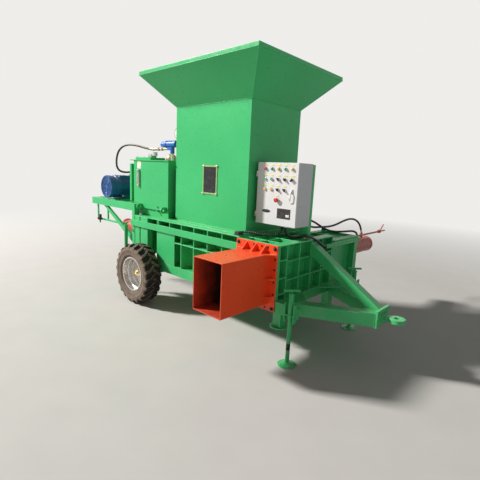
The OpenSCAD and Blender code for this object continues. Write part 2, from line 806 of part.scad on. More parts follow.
// Lid plate, breather, small block and level gauge of the tank
module tank_fittings() {
    rear = -tank_back;
    lid_top = tank_top + 36;
    color(green) {
        box([rear + 12, -tank_y + 60, tank_top], [rear + 378, -tank_y + 300, lid_top]);
        translate([rear + 300, -tank_y + 186, lid_top]) cylinder(d = 50, h = 25);
        translate([rear + 300, -tank_y + 186, lid_top + 25]) cylinder(d = 95, h = 50);
        box([rear + 188, -tank_y + 150, lid_top], [rear + 248, -tank_y + 220, lid_top + 50]);
        box([rear + 176, -tank_y - 22, tank_top - 354], [rear + 216, -tank_y, tank_top - 129]);
    }
}

// Middle of the valve on its stem above the tank
valve_x = tank_l - tank_back - 288;
valve_y = -tank_y + 276;
valve_z = tank_top + 219;

// Valve: a level body with its coil, on a neck and a stem
module valve_block() {
    color(blue) {
        bar_x(valve_y, valve_z, 86, valve_x - 100, valve_x + 85);
        bar_x(valve_y, valve_z, 96, valve_x - 130, valve_x - 100);
        bar_x(valve_y, valve_z, 76, valve_x - 220, valve_x - 130);
        translate([valve_x, valve_y, valve_z - 123]) cylinder(d = 58, h = 100);
        box([valve_x - 75, valve_y - 30, valve_z - 78], [valve_x - 10, valve_y + 30, valve_z - 40]);
    }
    color(steel) translate([valve_x, valve_y, tank_top]) cylinder(d = 42, h = valve_z - 123 - tank_top);
}

// Bulkhead elbows on the deck for the two hoses of the side cylinder: [x, y]
deck_ports = [[1520, 545], [1590, 545]];
deck_port_z = deck_z + 41;

// Zinc-plated pipe work: pipe and ferrule of the pressure hose, pressure gauge on its
// pipe, filler dome of the tank, and the elbows on the deck
module pipe_fittings() {
    pipe_z = valve_z - 62;
    gauge_x = valve_x + 157;
    color([0.75, 0.68, 0.45]) {
        bar_x(valve_y, pipe_z, 26, valve_x - 205, valve_x - 75);
        bar_x(valve_y, pipe_z, 40, valve_x - 245, valve_x - 205, $fn = 6);
        bar_x(valve_y, pipe_z, 30, valve_x - 285, valve_x - 245);
        bar_x(valve_y, pipe_z, 44, valve_x - 320, valve_x - 285, $fn = 6);
        bar_x(valve_y, pipe_z, 38, valve_x - 430, valve_x - 320);
        translate([gauge_x, valve_y - 10, tank_top]) {
            cylinder(d = 34, h = 141);
            translate([0, 0, 141]) cylinder(d = 75, h = 85);
            translate([0, 0, 226]) cylinder(d = 50, h = 60);
        }
        bar_y(gauge_x, valve_z + 132, 136, valve_y - 40, valve_y + 20);
        translate([valve_x - 125, valve_y + 80, tank_top]) rotate_extrude()
            polygon([[0, 0], [74, 0], [74, 20], [70, 50], [55, 78], [30, 92], [0, 96]]);
        for (p = deck_ports) {
            translate([p[0], p[1], deck_z]) cylinder(d = 42, h = 24, $fn = 6);
            translate([p[0], p[1], deck_z + 24]) cylinder(d = 30, h = 34);
            bar_y(p[0], deck_port_z, 30, p[1], p[1] + 35);
        }
    }
}

// Cabinet body, open at the front, with its mounting plate, hinge pins and gland
cabinet_x = tower_front + cabinet_gap;
cabinet_back_y = -cabinet_y + cabinet_d;
hinge_y = -cabinet_y - 6;
hinge_z = [cabinet_z + 90, cabinet_z + cabinet_h - 120];
glands = [[cabinet_x + 258, -200], [cabinet_x + 318, -230]];
pin_r = 4;
module cabinet() {
    color([0.86, 0.87, 0.86]) {
        difference() {
            box([cabinet_x, -cabinet_y + door_t + 2, cabinet_z],
                [cabinet_x + cabinet_w, cabinet_back_y, cabinet_z + cabinet_h]);
            box([cabinet_x + cabinet_t, -cabinet_y + door_t + 1, cabinet_z + cabinet_t],
                [cabinet_x + cabinet_w - cabinet_t, cabinet_back_y - cabinet_t,
                 cabinet_z + cabinet_h - cabinet_t]);
        }
        box([cabinet_x + 40, cabinet_back_y - cabinet_t - 4, cabinet_z + 40],
            [cabinet_x + cabinet_w - 40, cabinet_back_y - cabinet_t, cabinet_z + cabinet_h - 40]);
        for (z = hinge_z) {
            translate([cabinet_x, hinge_y, z - 25]) cylinder(r = pin_r, h = 55);
            box([cabinet_x - 8, hinge_y - 7, z - 25], [cabinet_x, -cabinet_y + door_t + 40, z - 1]);
        }
    }
    color(black) for (g = glands) translate([g[0], g[1], cabinet_z - 25]) cylinder(d = 44, h = 25);
}

// Cabinet door with its hinge knuckles and handle
module cabinet_door() {
    color([0.93, 0.94, 0.93]) {
        box([cabinet_x + 2, -cabinet_y, cabinet_z],
            [cabinet_x + cabinet_w, -cabinet_y + door_t, cabinet_z + cabinet_h]);
        for (z = hinge_z) difference() {
            union() {
                translate([cabinet_x, hinge_y, z]) cylinder(r = pin_r + 3, h = 30);
                box([cabinet_x, hinge_y + 2, z], [cabinet_x + 12, -cabinet_y + 1, z + 30]);
            }
            translate([cabinet_x, hinge_y, z - 1]) cylinder(r = pin_r + 0.1, h = 32);
        }
    }
    color(black) box([cabinet_x + cabinet_w - 60, -cabinet_y - 25, cabinet_z + 150],
                     [cabinet_x + cabinet_w - 40, -cabinet_y, cabinet_z + 270]);
}

// Lamps, buttons and switches on the door: [row height, diameter, count, reach]
button_rows = [[530, 34, 5, 14], [440, 34, 5, 20], [350, 34, 4, 20]];
module door_buttons() {
    color(black) {
        for (r = button_rows) for (i = [0 : r[2] - 1])
            translate([cabinet_x + 80 + i * 82, -cabinet_y, cabinet_z + r[0]])
                rotate([90, 0, 0]) cylinder(d = r[1], h = r[3]);
    }
    color(red) translate([cabinet_x + 250, -cabinet_y, cabinet_z + 230]) rotate([90, 0, 0]) {
        cylinder(d = 30, h = 16);
        translate([0, 0, 16]) cylinder(d = 50, h = 14);
    }
}

// Post and back plate that carry the cabinet
module cabinet_post() {
    x = cabinet_x + cabinet_w - 120;
    color(green) {
        box([cabinet_x + 40, cabinet_back_y, cabinet_z + 60],
            [cabinet_x + cabinet_w - 20, cabinet_back_y + 8, cabinet_z + cabinet_h - 60]);
        box([x, cabinet_back_y + 8, block_top_z + 10],
            [x + post_s, cabinet_back_y + 8 + post_s, cabinet_z + cabinet_h - 120]);
        box([x - 30, cabinet_back_y - 22, block_top_z],
            [x + post_s + 30, cabinet_back_y + 38 + post_s, block_top_z + 10]);
    }
}

// Plan of the slanting drawbar tubes
beam_back = block_front_x;
beam_front = nose_x - nose_t;
beam_slope = (drawbar_y - drawbar_nose_y) / (beam_front - beam_back);
beam_half = drawbar_s / 2 / cos(atan(beam_slope));
function beam_y(x) = drawbar_y - beam_slope * (x - beam_back);

// Two tubes that run together towards the nose
module drawbar_beams() {
    color(green) both_sides() translate([0, 0, drawbar_z]) linear_extrude(drawbar_s)
        polygon([[beam_back, -beam_y(beam_back) - beam_half], [beam_front, -drawbar_nose_y - beam_half],
                 [beam_front, -drawbar_nose_y + beam_half - 4], [beam_back, -beam_y(beam_back) + beam_half]]);
}

// Level plate in the corner between the block and each tube
module drawbar_cross() {
    reach = 156;
    color(green) both_sides() translate([0, 0, gusset_z]) linear_extrude(plate_t)
        polygon([[beam_back, -150], [beam_back, -beam_y(beam_back) - beam_half],
                 [beam_back + reach, -beam_y(beam_back + reach) - beam_half],
                 [beam_back + reach, -beam_y(beam_back + reach) + beam_half]]);
}

// Strut from the top of the block down to the plate at the nose
module drawbar_strut() {
    foot = gusset_z + gusset_t;
    color(green) translate([0, strut_s / 2, 0]) rotate([90, 0, 0]) linear_extrude(strut_s)
        polygon([[beam_back, block_top_z - 30], [beam_back, block_top_z - 160],
                 [beam_front - 120, foot], [beam_front, foot], [beam_front, foot + 20]]);
}

// Plate across the front of the drawbar and the level plate behind it on both tubes
module nose_plate() {
    color(green) {
        box([nose_x - nose_t, -132, drawbar_z - 7], [nose_x, 132, gusset_z + 33]);
        translate([0, 0, gusset_z]) linear_extrude(gusset_t)
            polygon([for (p = [[beam_front - 125, -1], [beam_front, -1], [beam_front, 1], [beam_front - 125, 1]])
                [p[0], p[1] * (beam_y(p[0]) + beam_half)]]);
    }
}

// Forged eye on its shank
module tow_eye() {
    thick = 40;
    shank = 32;
    color(green) difference() {
        union() {
            translate([eye_x, 0, eye_z - thick / 2]) cylinder(r = eye_out, h = thick);
            box([nose_x, -shank, eye_z - thick / 2], [eye_x, shank, eye_z + thick / 2]);
            box([nose_x, -shank - 8, eye_z - 30], [nose_x + 20, shank + 8, eye_z + 30]);
        }
        translate([eye_x, 0, eye_z - thick]) cylinder(r = eye_r, h = 2 * thick);
    }
}

// Fixed legs under the front of the block, with round feet
module front_legs() {
    x = block_front_x - 45;
    color(green) both_sides() {
        box([x - leg_s / 2, -drawbar_y - leg_s / 2, leg_z + 12], [x + 45, -drawbar_y + leg_s / 2, sill_z]);
        translate([x, -drawbar_y, leg_z]) cylinder(d = 180, h = 12);
    }
}

// Outer tubes of the four jacks with the arms that hold them, their caps and cross
// handles; a front tube also stands between two cheeks on a small plate
handle_turn = 42;
module jack_tubes() {
    outer = jack_leg_d + 2 * jack_wall;
    cheek_z = drawbar_z + 1;
    color(green) both_sides() for (j = jacks) {
        low = j[3] - j[4];
        face = outer / 2 - j[2];
        front = j[0] == "front";
        difference() {
            union() {
                translate([j[1], -j[2], low]) cylinder(d = outer, h = j[4]);
                if (front) {
                    box([block_front_x, face - 7, drawbar_z + 31], [j[1] + 60, face + 23, drawbar_z + 141]);
                    for (x = [j[1] - 55, j[1] + 45]) box([x, -j[2] - 28, cheek_z], [x + 10, face - 7, cheek_z + 180]);
                    box([j[1] - 55, -j[2] - 28, cheek_z + 64], [j[1] + 55, face - 7, cheek_z + 74]);
                }
                else box([j[1] - 20, face - 9, low + 10], [-rear_frame_l, -rib_y + rib_t, low + 190]);
            }
            translate([j[1], -j[2], low - 1]) cylinder(d = jack_leg_d + 2 * fit, h = j[4] - 5);
        }
        translate([j[1], -j[2], j[3]]) {
            cylinder(d = outer + 8, h = 14);
            cylinder(d = 26, h = 40);
            translate([0, 0, 40]) rotate([90, 0, handle_turn]) cylinder(d = 22, h = front ? 150 : 165, center = true);
        }
    }
}

// Inner leg and foot of one jack
module jack_foot(j) {
    color(green) translate([j[1], -j[2], 0]) {
        cylinder(d = jack_foot_d, h = 8);
        translate([0, 0, 8]) cylinder(d1 = 110, d2 = 60, h = 14);
        translate([0, 0, 8]) cylinder(d = jack_leg_d, h = j[3] - 8 - j[5] - 12);
    }
}
module jack_foot_front_near() { jack_foot(jacks[0]); }
module jack_foot_front_far() { mirror([0, 1, 0]) jack_foot(jacks[0]); }
module jack_foot_rear_near() { jack_foot(jacks[1]); }
module jack_foot_rear_far() { mirror([0, 1, 0]) jack_foot(jacks[1]); }

// Axle beam with a stub at each end
module axle() {
    stub = wheel_y + 6;
    color([0.2, 0.2, 0.2]) {
        box([axle_x - axle_beam / 2, -rib_y, axle_z - axle_beam / 2],
            [axle_x + axle_beam / 2, rib_y, axle_z + axle_beam / 2]);
        both_sides() bar_y(axle_x, axle_z, 50, -stub, -rib_y);
    }
}

// Groove between two lugs on the outer half of a tyre, open at the shoulder and bent
// along the middle
module tyre_groove() {
    translate([tyre_d / 2 - lug_h, 0, 0]) rotate([90, 0, 90]) linear_extrude(lug_h + 5)
        polygon([[-70, tyre_w / 2 + 5], [-34, tyre_w / 2 + 5], [67, 14], [71, -25], [45, -25], [41, 4]]);
}

// Tyre with its lugs, drawn with the outside towards -y
module tyre() {
    r = tyre_d / 2;
    w = tyre_w / 2;
    seat = rim_w / 2 - fit;
    color(black) rotate([90, 0, 0]) difference() {
        rotate_extrude($fn = 64)
            polygon([[rim_d / 2, -seat], [rim_d / 2 + 11, -seat], [rim_d / 2 + 30, -w * 0.88],
                     [r - 80, -w], [r - 24, -w * 0.95], [r, -w * 0.66], [r, w * 0.66],
                     [r - 24, w * 0.95], [r - 80, w], [rim_d / 2 + 30, w * 0.88],
                     [rim_d / 2 + 11, seat], [rim_d / 2, seat]]);
        for (i = [0 : lug_count - 1]) {
            rotate(i * 360 / lug_count) tyre_groove();
            rotate((i + 0.5) * 360 / lug_count) mirror([0, 0, 1]) tyre_groove();
        }
    }
}
module tyre_near() { translate([axle_x, -wheel_y, axle_z]) tyre(); }
module tyre_far() { translate([axle_x, wheel_y, axle_z]) tyre(); }

// Rim with its flanges, well and dished disc, the hub's cap and the castle nut, turned
// about the axle and drawn with the outside towards -y
module rim() {
    r = rim_d / 2 - fit;
    seat = rim_w / 2;
    lip = seat + 10;
    color(steel) rotate([90, 0, 0]) {
        rotate_extrude($fn = 64)
            polygon([[25 + fit, -45], [60, -45], [60, -30], [120, -30], [160, -46], [r - 9, -46],
                     [r - 9, -lip], [r + 9, -lip], [r + 9, -seat], [r, -seat], [r, seat], [r + 9, seat],
                     [r + 9, lip], [r - 7, lip], [r - 9, lip - 6], [r - 9, 34], [192, 24], [192, -32],
                     [186, -38], [162, -38], [120, -22], [45, -22], [45, 16], [0, 16], [0, 8],
                     [25 + fit, 8]]);
        translate([0, 0, 16]) cylinder(d = 64, h = 18, $fn = 6);
        translate([0, 0, 34]) difference() {
            cylinder(d = 50, h = 8);
            for (i = [0 : 2]) rotate(i * 60) translate([-30, -3.5, 2]) cube([60, 7, 7]);
        }
    }
}
module rim_near() { translate([axle_x, -wheel_y, axle_z]) rim(); }
module rim_far() { translate([axle_x, wheel_y, axle_z]) mirror([0, 1, 0]) rim(); }

// Ring of points of radius r round each point of a route, square to the way it runs
function unit(v) = v / norm(v);
function heading(p, i) =
    i == 0 ? unit(p[1] - p[0])
    : i == len(p) - 1 ? unit(p[i] - p[i - 1])
    : unit(unit(p[i] - p[i - 1]) + unit(p[i + 1] - p[i]));
function side_of(t) = abs(t[2]) > 0.9 ? unit(cross(t, [1, 0, 0])) : unit(cross(t, [0, 0, 1]));
function ring(c, t, r, n) =
    let (a = side_of(t), b = cross(t, a))
    [for (k = [0 : n - 1]) c + r * (cos(360 * k / n) * a + sin(360 * k / n) * b)];

// The same ring slid along its tube until it lies flat before the port it meets, which faces the way f
cord_gap = 0.3;
function cut_flush(points, c, t, f) =
    [for (q = points) q - t * ((q - c) * f - cord_gap) / (t * f)];

// Tube of diameter d swept along a route, between ports that face the ways leave and arrive
module hose(p, d, leave, arrive, n = 8) {
    last = len(p) - 1;
    polyhedron(
        points = [for (i = [0 : last])
            let (t = heading(p, i), r = ring(p[i], t, d / 2, n))
            each (i == 0 ? cut_flush(r, p[i], t, leave)
                : i == last ? cut_flush(r, p[i], t, arrive)
                : r)],
        faces = concat(
            [[for (k = [0 : n - 1]) k]],
            [[for (k = [n - 1 : -1 : 0]) last * n + k]],
            [for (i = [0 : last - 1], k = [0 : n - 1])
                [i * n + k, (i + 1) * n + k, (i + 1) * n + (k + 1) % n]],
            [for (i = [0 : last - 1], k = [0 : n - 1])
                [i * n + k, (i + 1) * n + (k + 1) % n, i * n + (k + 1) % n]]));
}

// Routes of the hoses and cables
pressure_route = [[-400, -210, 2001], [-490, -223, 2007], [-580, -246, 2022], [-670, -272, 2042],
                  [-760, -293, 2056], [-850, -308, 2062], [-930, -319, 2058], [-1000, -328, 2044],
                  [-1062, -334, 2020], [-1116, -340, 1982], [-1156, -345, 1928], [-1178, -349, 1864],
                  [-1184, -350, 1796], [-1183, -340, 1730], [-1175, -308, 1682], [-1162, -252, 1660],
                  [-1143, -185, 1658], [-1118, -110, 1668], [-1088, -28, 1676], [-1064, 38, 1662],
                  [-1048, 84, 1626], [-1039, 110, 1582], [-1036, 120, 1542]];
rod_side_route = [[1520, 580, 1145], [1524, 640, 1151], [1540, 700, 1165], [1568, 754, 1175],
                  [1604, 804, 1170], [1646, 852, 1146], [1694, 892, 1110], [1748, 926, 1075],
                  [1808, 958, 1052], [1872, 990, 1046], [1932, 1022, 1050], [1984, 1058, 1057],
                  [2022, 1106, 1062], [2046, 1160, 1056], [2056, 1214, 1032], [2048, 1256, 992],
                  [2026, 1282, 952], [1995, 1292, 915]];
head_side_route = [[1590, 580, 1145], [1593, 656, 1139], [1602, 732, 1116], [1616, 808, 1090],
                   [1638, 884, 1078], [1662, 960, 1078], [1694, 1028, 1079], [1742, 1088, 1089],
                   [1788, 1144, 1112], [1826, 1206, 1144], [1854, 1274, 1170], [1876, 1350, 1184],
                   [1893, 1428, 1180], [1904, 1506, 1156], [1910, 1578, 1114], [1910, 1640, 1056],
                   [1906, 1700, 965]];
cable_route = [[1900, -200, 1208], [1896, -202, 1174], [1882, -210, 1145], [1858, -226, 1123],
               [1824, -252, 1113], [1770, -298, 1112], [1716, -340, 1116], [1664, -384, 1126],
               [1626, -432, 1132], [1606, -476, 1131], [1600, -514, 1128]];
drawbar_cable_route = [[1960, -230, 1208], [1962, -224, 1172], [1967, -207, 1141], [1979, -181, 1119],
                       [2002, -152, 1108], [2040, -126, 1111], [2086, -110, 1122], [2132, -98, 1130],
                       [2170, -74, 1124], [2192, -34, 1104], [2200, 18, 1080], [2199, 74, 1052],
                       [2195, 126, 1026], [2190, 176, 1006], [2184, 223, 992]];

module pressure_hose() { color(black) hose(pressure_route, 30, [-1, 0, 0], [0, 0, 1]); }
module rod_side_hose() {
    color(black) hose(rod_side_route, 26, [0, 1, 0], [sin(side_ports[0][1]), 0, cos(side_ports[0][1])]);
}
module head_side_hose() { color(black) hose(head_side_route, 26, [0, 1, 0], [0, 0, 1]); }
module cabinet_cable() { color(black) hose(cable_route, 24, [0, 0, -1], [0, 1, 0]); }
module drawbar_cable() { color(black) hose(drawbar_cable_route, 26, [0, 0, -1], [0, -1, 0]); }

// The finished machine stands with its middle over the origin
module centred() { translate([-mid_x, -mid_y, 0]) children(); }

centred() chamber_side_near();
centred() chamber_side_far();
centred() side_bands();
centred() chamber_floor();
centred() chamber_deck();
centred() sills();
centred() rear_columns();
centred() head_plate();
centred() tower();
centred() hopper();
centred() window_frame();
centred() sight_glass();
centred() block_front();
centred() block_back();
centred() block_top();
centred() block_floor();
centred() side_housing();
centred() chute();
centred() main_cylinder();
centred() main_ram();
centred() side_cylinder();
centred() side_ram();
centred() indicator_rod();
centred() platform_beams();
centred() platform_crossbars();
centred() platform_braces();
centred() motor_plate();
centred() limit_rail();
centred() motor();
centred() pump();
centred() tank_base();
centred() oil_tank();
centred() tank_fittings();
centred() valve_block();
centred() pipe_fittings();
centred() cabinet();
centred() cabinet_door();
centred() door_buttons();
centred() cabinet_post();
centred() drawbar_beams();
centred() drawbar_cross();
centred() drawbar_strut();
centred() nose_plate();
centred() tow_eye();
centred() front_legs();
centred() jack_tubes();
centred() jack_foot_front_near();
centred() jack_foot_front_far();
centred() jack_foot_rear_near();
centred() jack_foot_rear_far();
centred() axle();
centred() tyre_near();
centred() tyre_far();
centred() rim_near();
centred() rim_far();
centred() pressure_hose();
centred() rod_side_hose();
centred() head_side_hose();
centred() cabinet_cable();
centred() drawbar_cable();
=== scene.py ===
import math

import bpy
from mathutils import Matrix, Vector


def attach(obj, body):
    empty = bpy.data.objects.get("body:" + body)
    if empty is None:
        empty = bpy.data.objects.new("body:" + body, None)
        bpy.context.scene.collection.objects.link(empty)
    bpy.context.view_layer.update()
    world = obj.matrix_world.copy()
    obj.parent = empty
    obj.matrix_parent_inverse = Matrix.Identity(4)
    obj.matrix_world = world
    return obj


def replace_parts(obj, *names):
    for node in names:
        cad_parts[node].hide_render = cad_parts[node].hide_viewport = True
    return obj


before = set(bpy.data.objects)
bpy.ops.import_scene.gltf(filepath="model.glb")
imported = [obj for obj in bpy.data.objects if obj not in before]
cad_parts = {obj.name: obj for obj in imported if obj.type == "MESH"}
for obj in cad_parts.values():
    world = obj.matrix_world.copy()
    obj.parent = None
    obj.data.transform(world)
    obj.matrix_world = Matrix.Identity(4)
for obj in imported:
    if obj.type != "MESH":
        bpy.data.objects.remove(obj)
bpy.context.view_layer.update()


# Camera

# The photographer stood off the near front corner of the press, at eye level,
# and looked a little down with the camera tilted a few degrees.
drawing_middle_x, drawing_middle_y = 809, 567


def at(x, y, z):
    """A place in the drawing's millimetres, from the rear frame's front, as a point of the frame."""
    return Vector(((x - drawing_middle_x) / 1000, (y - drawing_middle_y) / 1000, z / 1000))


camera_data = bpy.data.cameras.new("photo_camera")
camera_data.lens = 27.73
camera_data.sensor_width = 36
camera_data.clip_end = 200
camera = bpy.data.objects.new("photo_camera", camera_data)
bpy.context.scene.collection.objects.link(camera)
eye = at(4148.5, -3296.7, 1753.4)
yaw, pitch, roll = math.radians(42.461), math.radians(10.552), math.radians(2.610)
ahead = Vector((-math.sin(yaw) * math.cos(pitch), math.cos(yaw) * math.cos(pitch), -math.sin(pitch)))
level = Vector((math.cos(yaw), math.sin(yaw), 0))
upright = level.cross(ahead)
right = math.cos(roll) * level + math.sin(roll) * upright
above = math.cos(roll) * upright - math.sin(roll) * level
camera.matrix_world = Matrix.Translation(eye) @ Matrix((right, above, -ahead)).transposed().to_4x4()
bpy.context.scene.camera = camera
bpy.context.scene.view_settings.view_transform = "Standard"


# Hoses and cables

# Hydraulic hoses of black rubber over wire braid, with crimped ferrules: one from the
# pump to the valve, and two from elbows on the deck to the side cylinder's ports. A
# spiral-wrapped cable and a bundle leave the cabinet's glands in moulded sleeves.
def paint_nodes(name, colour, rough, metal=0.0):
    """A new material with its shader, and the object's own coordinates to lay patterns on."""
    made = bpy.data.materials.new(name)
    made.use_nodes = True
    tree = made.node_tree
    shader = tree.nodes["Principled BSDF"]
    shader.inputs["Base Color"].default_value = (*colour, 1)
    shader.inputs["Roughness"].default_value = rough
    shader.inputs["Metallic"].default_value = metal
    place = tree.nodes.new("ShaderNodeTexCoord").outputs["Object"]
    return made, tree, shader, place


def noise(tree, place, scale, detail=4.0, stretch=None):
    """Noise of that many bumps per metre, drawn out along an axis where stretch says so."""
    if stretch:
        mapping = tree.nodes.new("ShaderNodeMapping")
        mapping.inputs["Scale"].default_value = stretch
        tree.links.new(place, mapping.inputs["Vector"])
        place = mapping.outputs["Vector"]
    texture = tree.nodes.new("ShaderNodeTexNoise")
    texture.inputs["Scale"].default_value = scale
    texture.inputs["Detail"].default_value = detail
    tree.links.new(place, texture.inputs["Vector"])
    return texture.outputs["Fac"]


def ramp(tree, value, low, high, dark=0.0, light=1.0):
    """The value spread so that low gives dark and high gives light."""
    spread = tree.nodes.new("ShaderNodeMapRange")
    for name, number in (("From Min", low), ("From Max", high), ("To Min", dark), ("To Max", light)):
        spread.inputs[name].default_value = number
    tree.links.new(value, spread.inputs["Value"])
    return spread.outputs["Result"]


def reckon(tree, operation, one, two):
    """The sum, product or the like of two values, of which each may be a number or a socket."""
    node = tree.nodes.new("ShaderNodeMath")
    node.operation = operation
    for socket, given in zip(node.inputs, (one, two)):
        if isinstance(given, (float, int)):
            socket.default_value = given
        else:
            tree.links.new(given, socket)
    return node.outputs["Value"]


def blend_colours(tree, share, one, two):
    """One colour turning into two as share goes from 0 to 1; each colour may be a socket."""
    mix = tree.nodes.new("ShaderNodeMix")
    mix.data_type = "RGBA"
    tree.links.new(share, mix.inputs["Factor"])
    for name, given in (("A", one), ("B", two)):
        if isinstance(given, tuple):
            mix.inputs[name].default_value = (*given, 1)
        else:
            tree.links.new(given, mix.inputs[name])
    return mix.outputs["Result"]


def colour_by(tree, shader, share, one, two):
    """Give the shader a colour that turns from one to two as share goes from 0 to 1."""
    tree.links.new(blend_colours(tree, share, one, two), shader.inputs["Base Color"])


def bump(tree, shader, height, strength, depth):
    """Relief of that depth in metres on the shader's surface."""
    relief = tree.nodes.new("ShaderNodeBump")
    relief.inputs["Strength"].default_value = strength
    relief.inputs["Distance"].default_value = depth
    tree.links.new(height, relief.inputs["Height"])
    tree.links.new(relief.outputs["Normal"], shader.inputs["Normal"])


def along_axis(tree, vector, letter):
    """One of the three numbers of a vector."""
    parts = tree.nodes.new("ShaderNodeSeparateXYZ")
    tree.links.new(vector, parts.inputs["Vector"])
    return parts.outputs[letter]


def facing(tree, letter):
    """How far the surface faces along an axis of the frame, from -1 to 1."""
    return along_axis(tree, tree.nodes.new("ShaderNodeNewGeometry").outputs["Normal"], letter)


def vary(tree, shader, place, name, spots, spread):
    """An input of the shader led by noise: spots are its bumps per metre and detail, spread its ramp."""
    tree.links.new(ramp(tree, noise(tree, place, *spots), *spread), shader.inputs[name])


def mottled(name, colour, rough, metal, spots, spread, one, two, grain=None):
    """A material that turns from one colour to two in spots; grain is its relief's noise and depth."""
    made, tree, shader, place = paint_nodes(name, colour, rough, metal)
    colour_by(tree, shader, ramp(tree, noise(tree, place, *spots), *spread), one, two)
    if grain:
        scale, detail, strength, depth = grain
        bump(tree, shader, noise(tree, place, scale, detail), strength, depth)
    return made, tree, shader, place


def grimy_rubber(name, colour, rough, settles, spots, clean, dusty):
    """Hose rubber with a fine weave, and dirt that settles on what faces up."""
    made, tree, shader, place = paint_nodes(name, colour, rough)
    grime = reckon(tree, "MULTIPLY", ramp(tree, facing(tree, "Z"), *settles),
                   ramp(tree, noise(tree, place, spots[0]), *spots[1:]))
    colour_by(tree, shader, grime, clean, dusty)
    bump(tree, shader, noise(tree, place, 400, 2), 0.4, 0.0006)
    return made, tree, shader, place


hose_rubber, tree, shader, place = grimy_rubber(
    "hose_rubber", (0.018, 0.018, 0.019), 0.5, settles=(0.1, 0.9), spots=(35, 0.3, 0.7),
    clean=(0.012, 0.012, 0.013), dusty=(0.10, 0.09, 0.075))
vary(tree, shader, place, "Roughness", (60,), (0.3, 0.7, 0.4, 0.65))
dusty_rubber = grimy_rubber(
    "dusty_hose_rubber", (0.05, 0.045, 0.04), 0.6, settles=(-0.2, 0.5), spots=(30, 0.2, 0.5),
    clean=(0.016, 0.015, 0.015), dusty=(0.36, 0.30, 0.23))[0]

zinc, tree, shader, place = paint_nodes("zinc_plate", (0.70, 0.62, 0.42), 0.34, 0.85)
clouds = ramp(tree, noise(tree, place, 28, 6), 0.35, 0.7)
tint = blend_colours(tree, clouds, (0.72, 0.66, 0.48), (0.58, 0.50, 0.34))
stains = ramp(tree, noise(tree, place, 90, 4), 0.55, 0.8, 0.0, 0.5)
colour_by(tree, shader, stains, tint, (0.32, 0.26, 0.18))
vary(tree, shader, place, "Roughness", (50, 5), (0.3, 0.7, 0.25, 0.5))
bump(tree, shader, noise(tree, place, 300, 2), 0.2, 0.0004)


def choose(*pieces):
    """Select these objects and no others, the first as the active one."""
    bpy.ops.object.select_all(action="DESELECT")
    for piece in pieces:
        piece.select_set(True)
    bpy.context.view_layer.objects.active = pieces[0]


def bar(start, end, diameter, sides=24, thin=None):
    """A round bar from start to end, or a cone frustum where thin gives the far end's diameter."""
    start, end = Vector(start), Vector(end)
    bpy.ops.object.select_all(action="DESELECT")
    bpy.ops.mesh.primitive_cone_add(
        vertices=sides, radius1=diameter / 2, radius2=(diameter if thin is None else thin) / 2,
        depth=(end - start).length, location=(start + end) / 2,
        rotation=(end - start).to_track_quat("Z", "Y").to_euler())
    return bpy.context.object


def join(parts):
    """The parts as one object that sits at the origin, with their places in its mesh."""
    choose(*parts)
    if len(parts) > 1:
        bpy.ops.object.join()
    bpy.ops.object.transform_apply(location=True, rotation=True, scale=True)
    return bpy.context.object


def round_edges(piece, width, steps, edge_finish=-1):
    """Round a piece's sharp edges over; edge_finish is the number of the material that they get."""
    rounding = piece.modifiers.new("rounding", "BEVEL")
    rounding.width = width
    rounding.segments = steps
    rounding.limit_method = "ANGLE"
    rounding.angle_limit = math.radians(40)
    rounding.material = edge_finish
    bpy.ops.object.modifier_apply(modifier=rounding.name)


def assemble(name, parts, body, finish, round_over=0.0, smooth=35, steps=2):
    """The parts joined into one piece in its place, with its edges rounded over and its finish on."""
    piece = join(parts)
    piece.name = piece.data.name = name
    piece.data.materials.clear()
    piece.data.materials.append(finish)
    if round_over:
        round_edges(piece, round_over, steps)
    bpy.ops.object.shade_smooth_by_angle(angle=math.radians(smooth))
    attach(piece, body)
    return piece


def new_curve(name, thickness=0.0, roundness=4, caps=False):
    """An empty curve that will be round and as thick as that."""
    data = bpy.data.curves.new(name, "CURVE")
    data.dimensions = "3D"
    data.bevel_depth = thickness / 2
    data.bevel_resolution = roundness
    data.use_fill_caps = caps
    return data


def smooth_line(data, points):
    """One smooth line through the points, on a curve."""
    spline = data.splines.new("BEZIER")
    spline.bezier_points.add(len(points) - 1)
    for knot, point in zip(spline.bezier_points, points):
        knot.co = point
        knot.handle_left_type = knot.handle_right_type = "AUTO"
    return spline


def straight_line(data, points):
    """Straight stretches from point to point, on a curve."""
    spline = data.splines.new("POLY")
    spline.points.add(len(points) - 1)
    for knot, point in zip(spline.points, points):
        knot.co = (*point, 1)
    return spline


def hang(name, data):
    """The curve as an object of the scene."""
    drawn = bpy.data.objects.new(name, data)
    bpy.context.scene.collection.objects.link(drawn)
    return drawn


def as_mesh(name, data):
    """The curve as a mesh object of the scene."""
    choose(hang(name, data))
    bpy.ops.object.convert(target="MESH")
    return bpy.context.object


def route(*places):
    """The drawing's places as points that a cord or a bent part follows."""
    return [at(*place) for place in places]


def free_hose(name, node, points, diameter, finish):
    """A hose along the points, on one smooth curve, in the place of its plain solid."""
    data = new_curve(name, diameter, 5, caps=True)
    data.resolution_u = 6
    spline = smooth_line(data, points)
    hose = hang(name, data)
    data.materials.append(finish)
    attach(hose, "frame")
    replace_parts(hose, node)


def crimped_end(point, along, diameter):
    """A ribbed ferrule and a nut round the end of a hose that leaves its fitting along a direction."""
    along = Vector(along).normalized()
    parts = [bar(point, point + along * 0.012, diameter * 1.5, 6),
             bar(point + along * 0.012, point + along * 0.020, diameter * 1.2, 20)]
    for step in range(4):
        low = point + along * (0.020 + step * 0.010)
        parts.append(bar(low, low + along * 0.007, diameter * 1.34, 20, diameter * 1.28))
        parts.append(bar(low + along * 0.007, low + along * 0.010, diameter * 1.18, 20))
    return parts


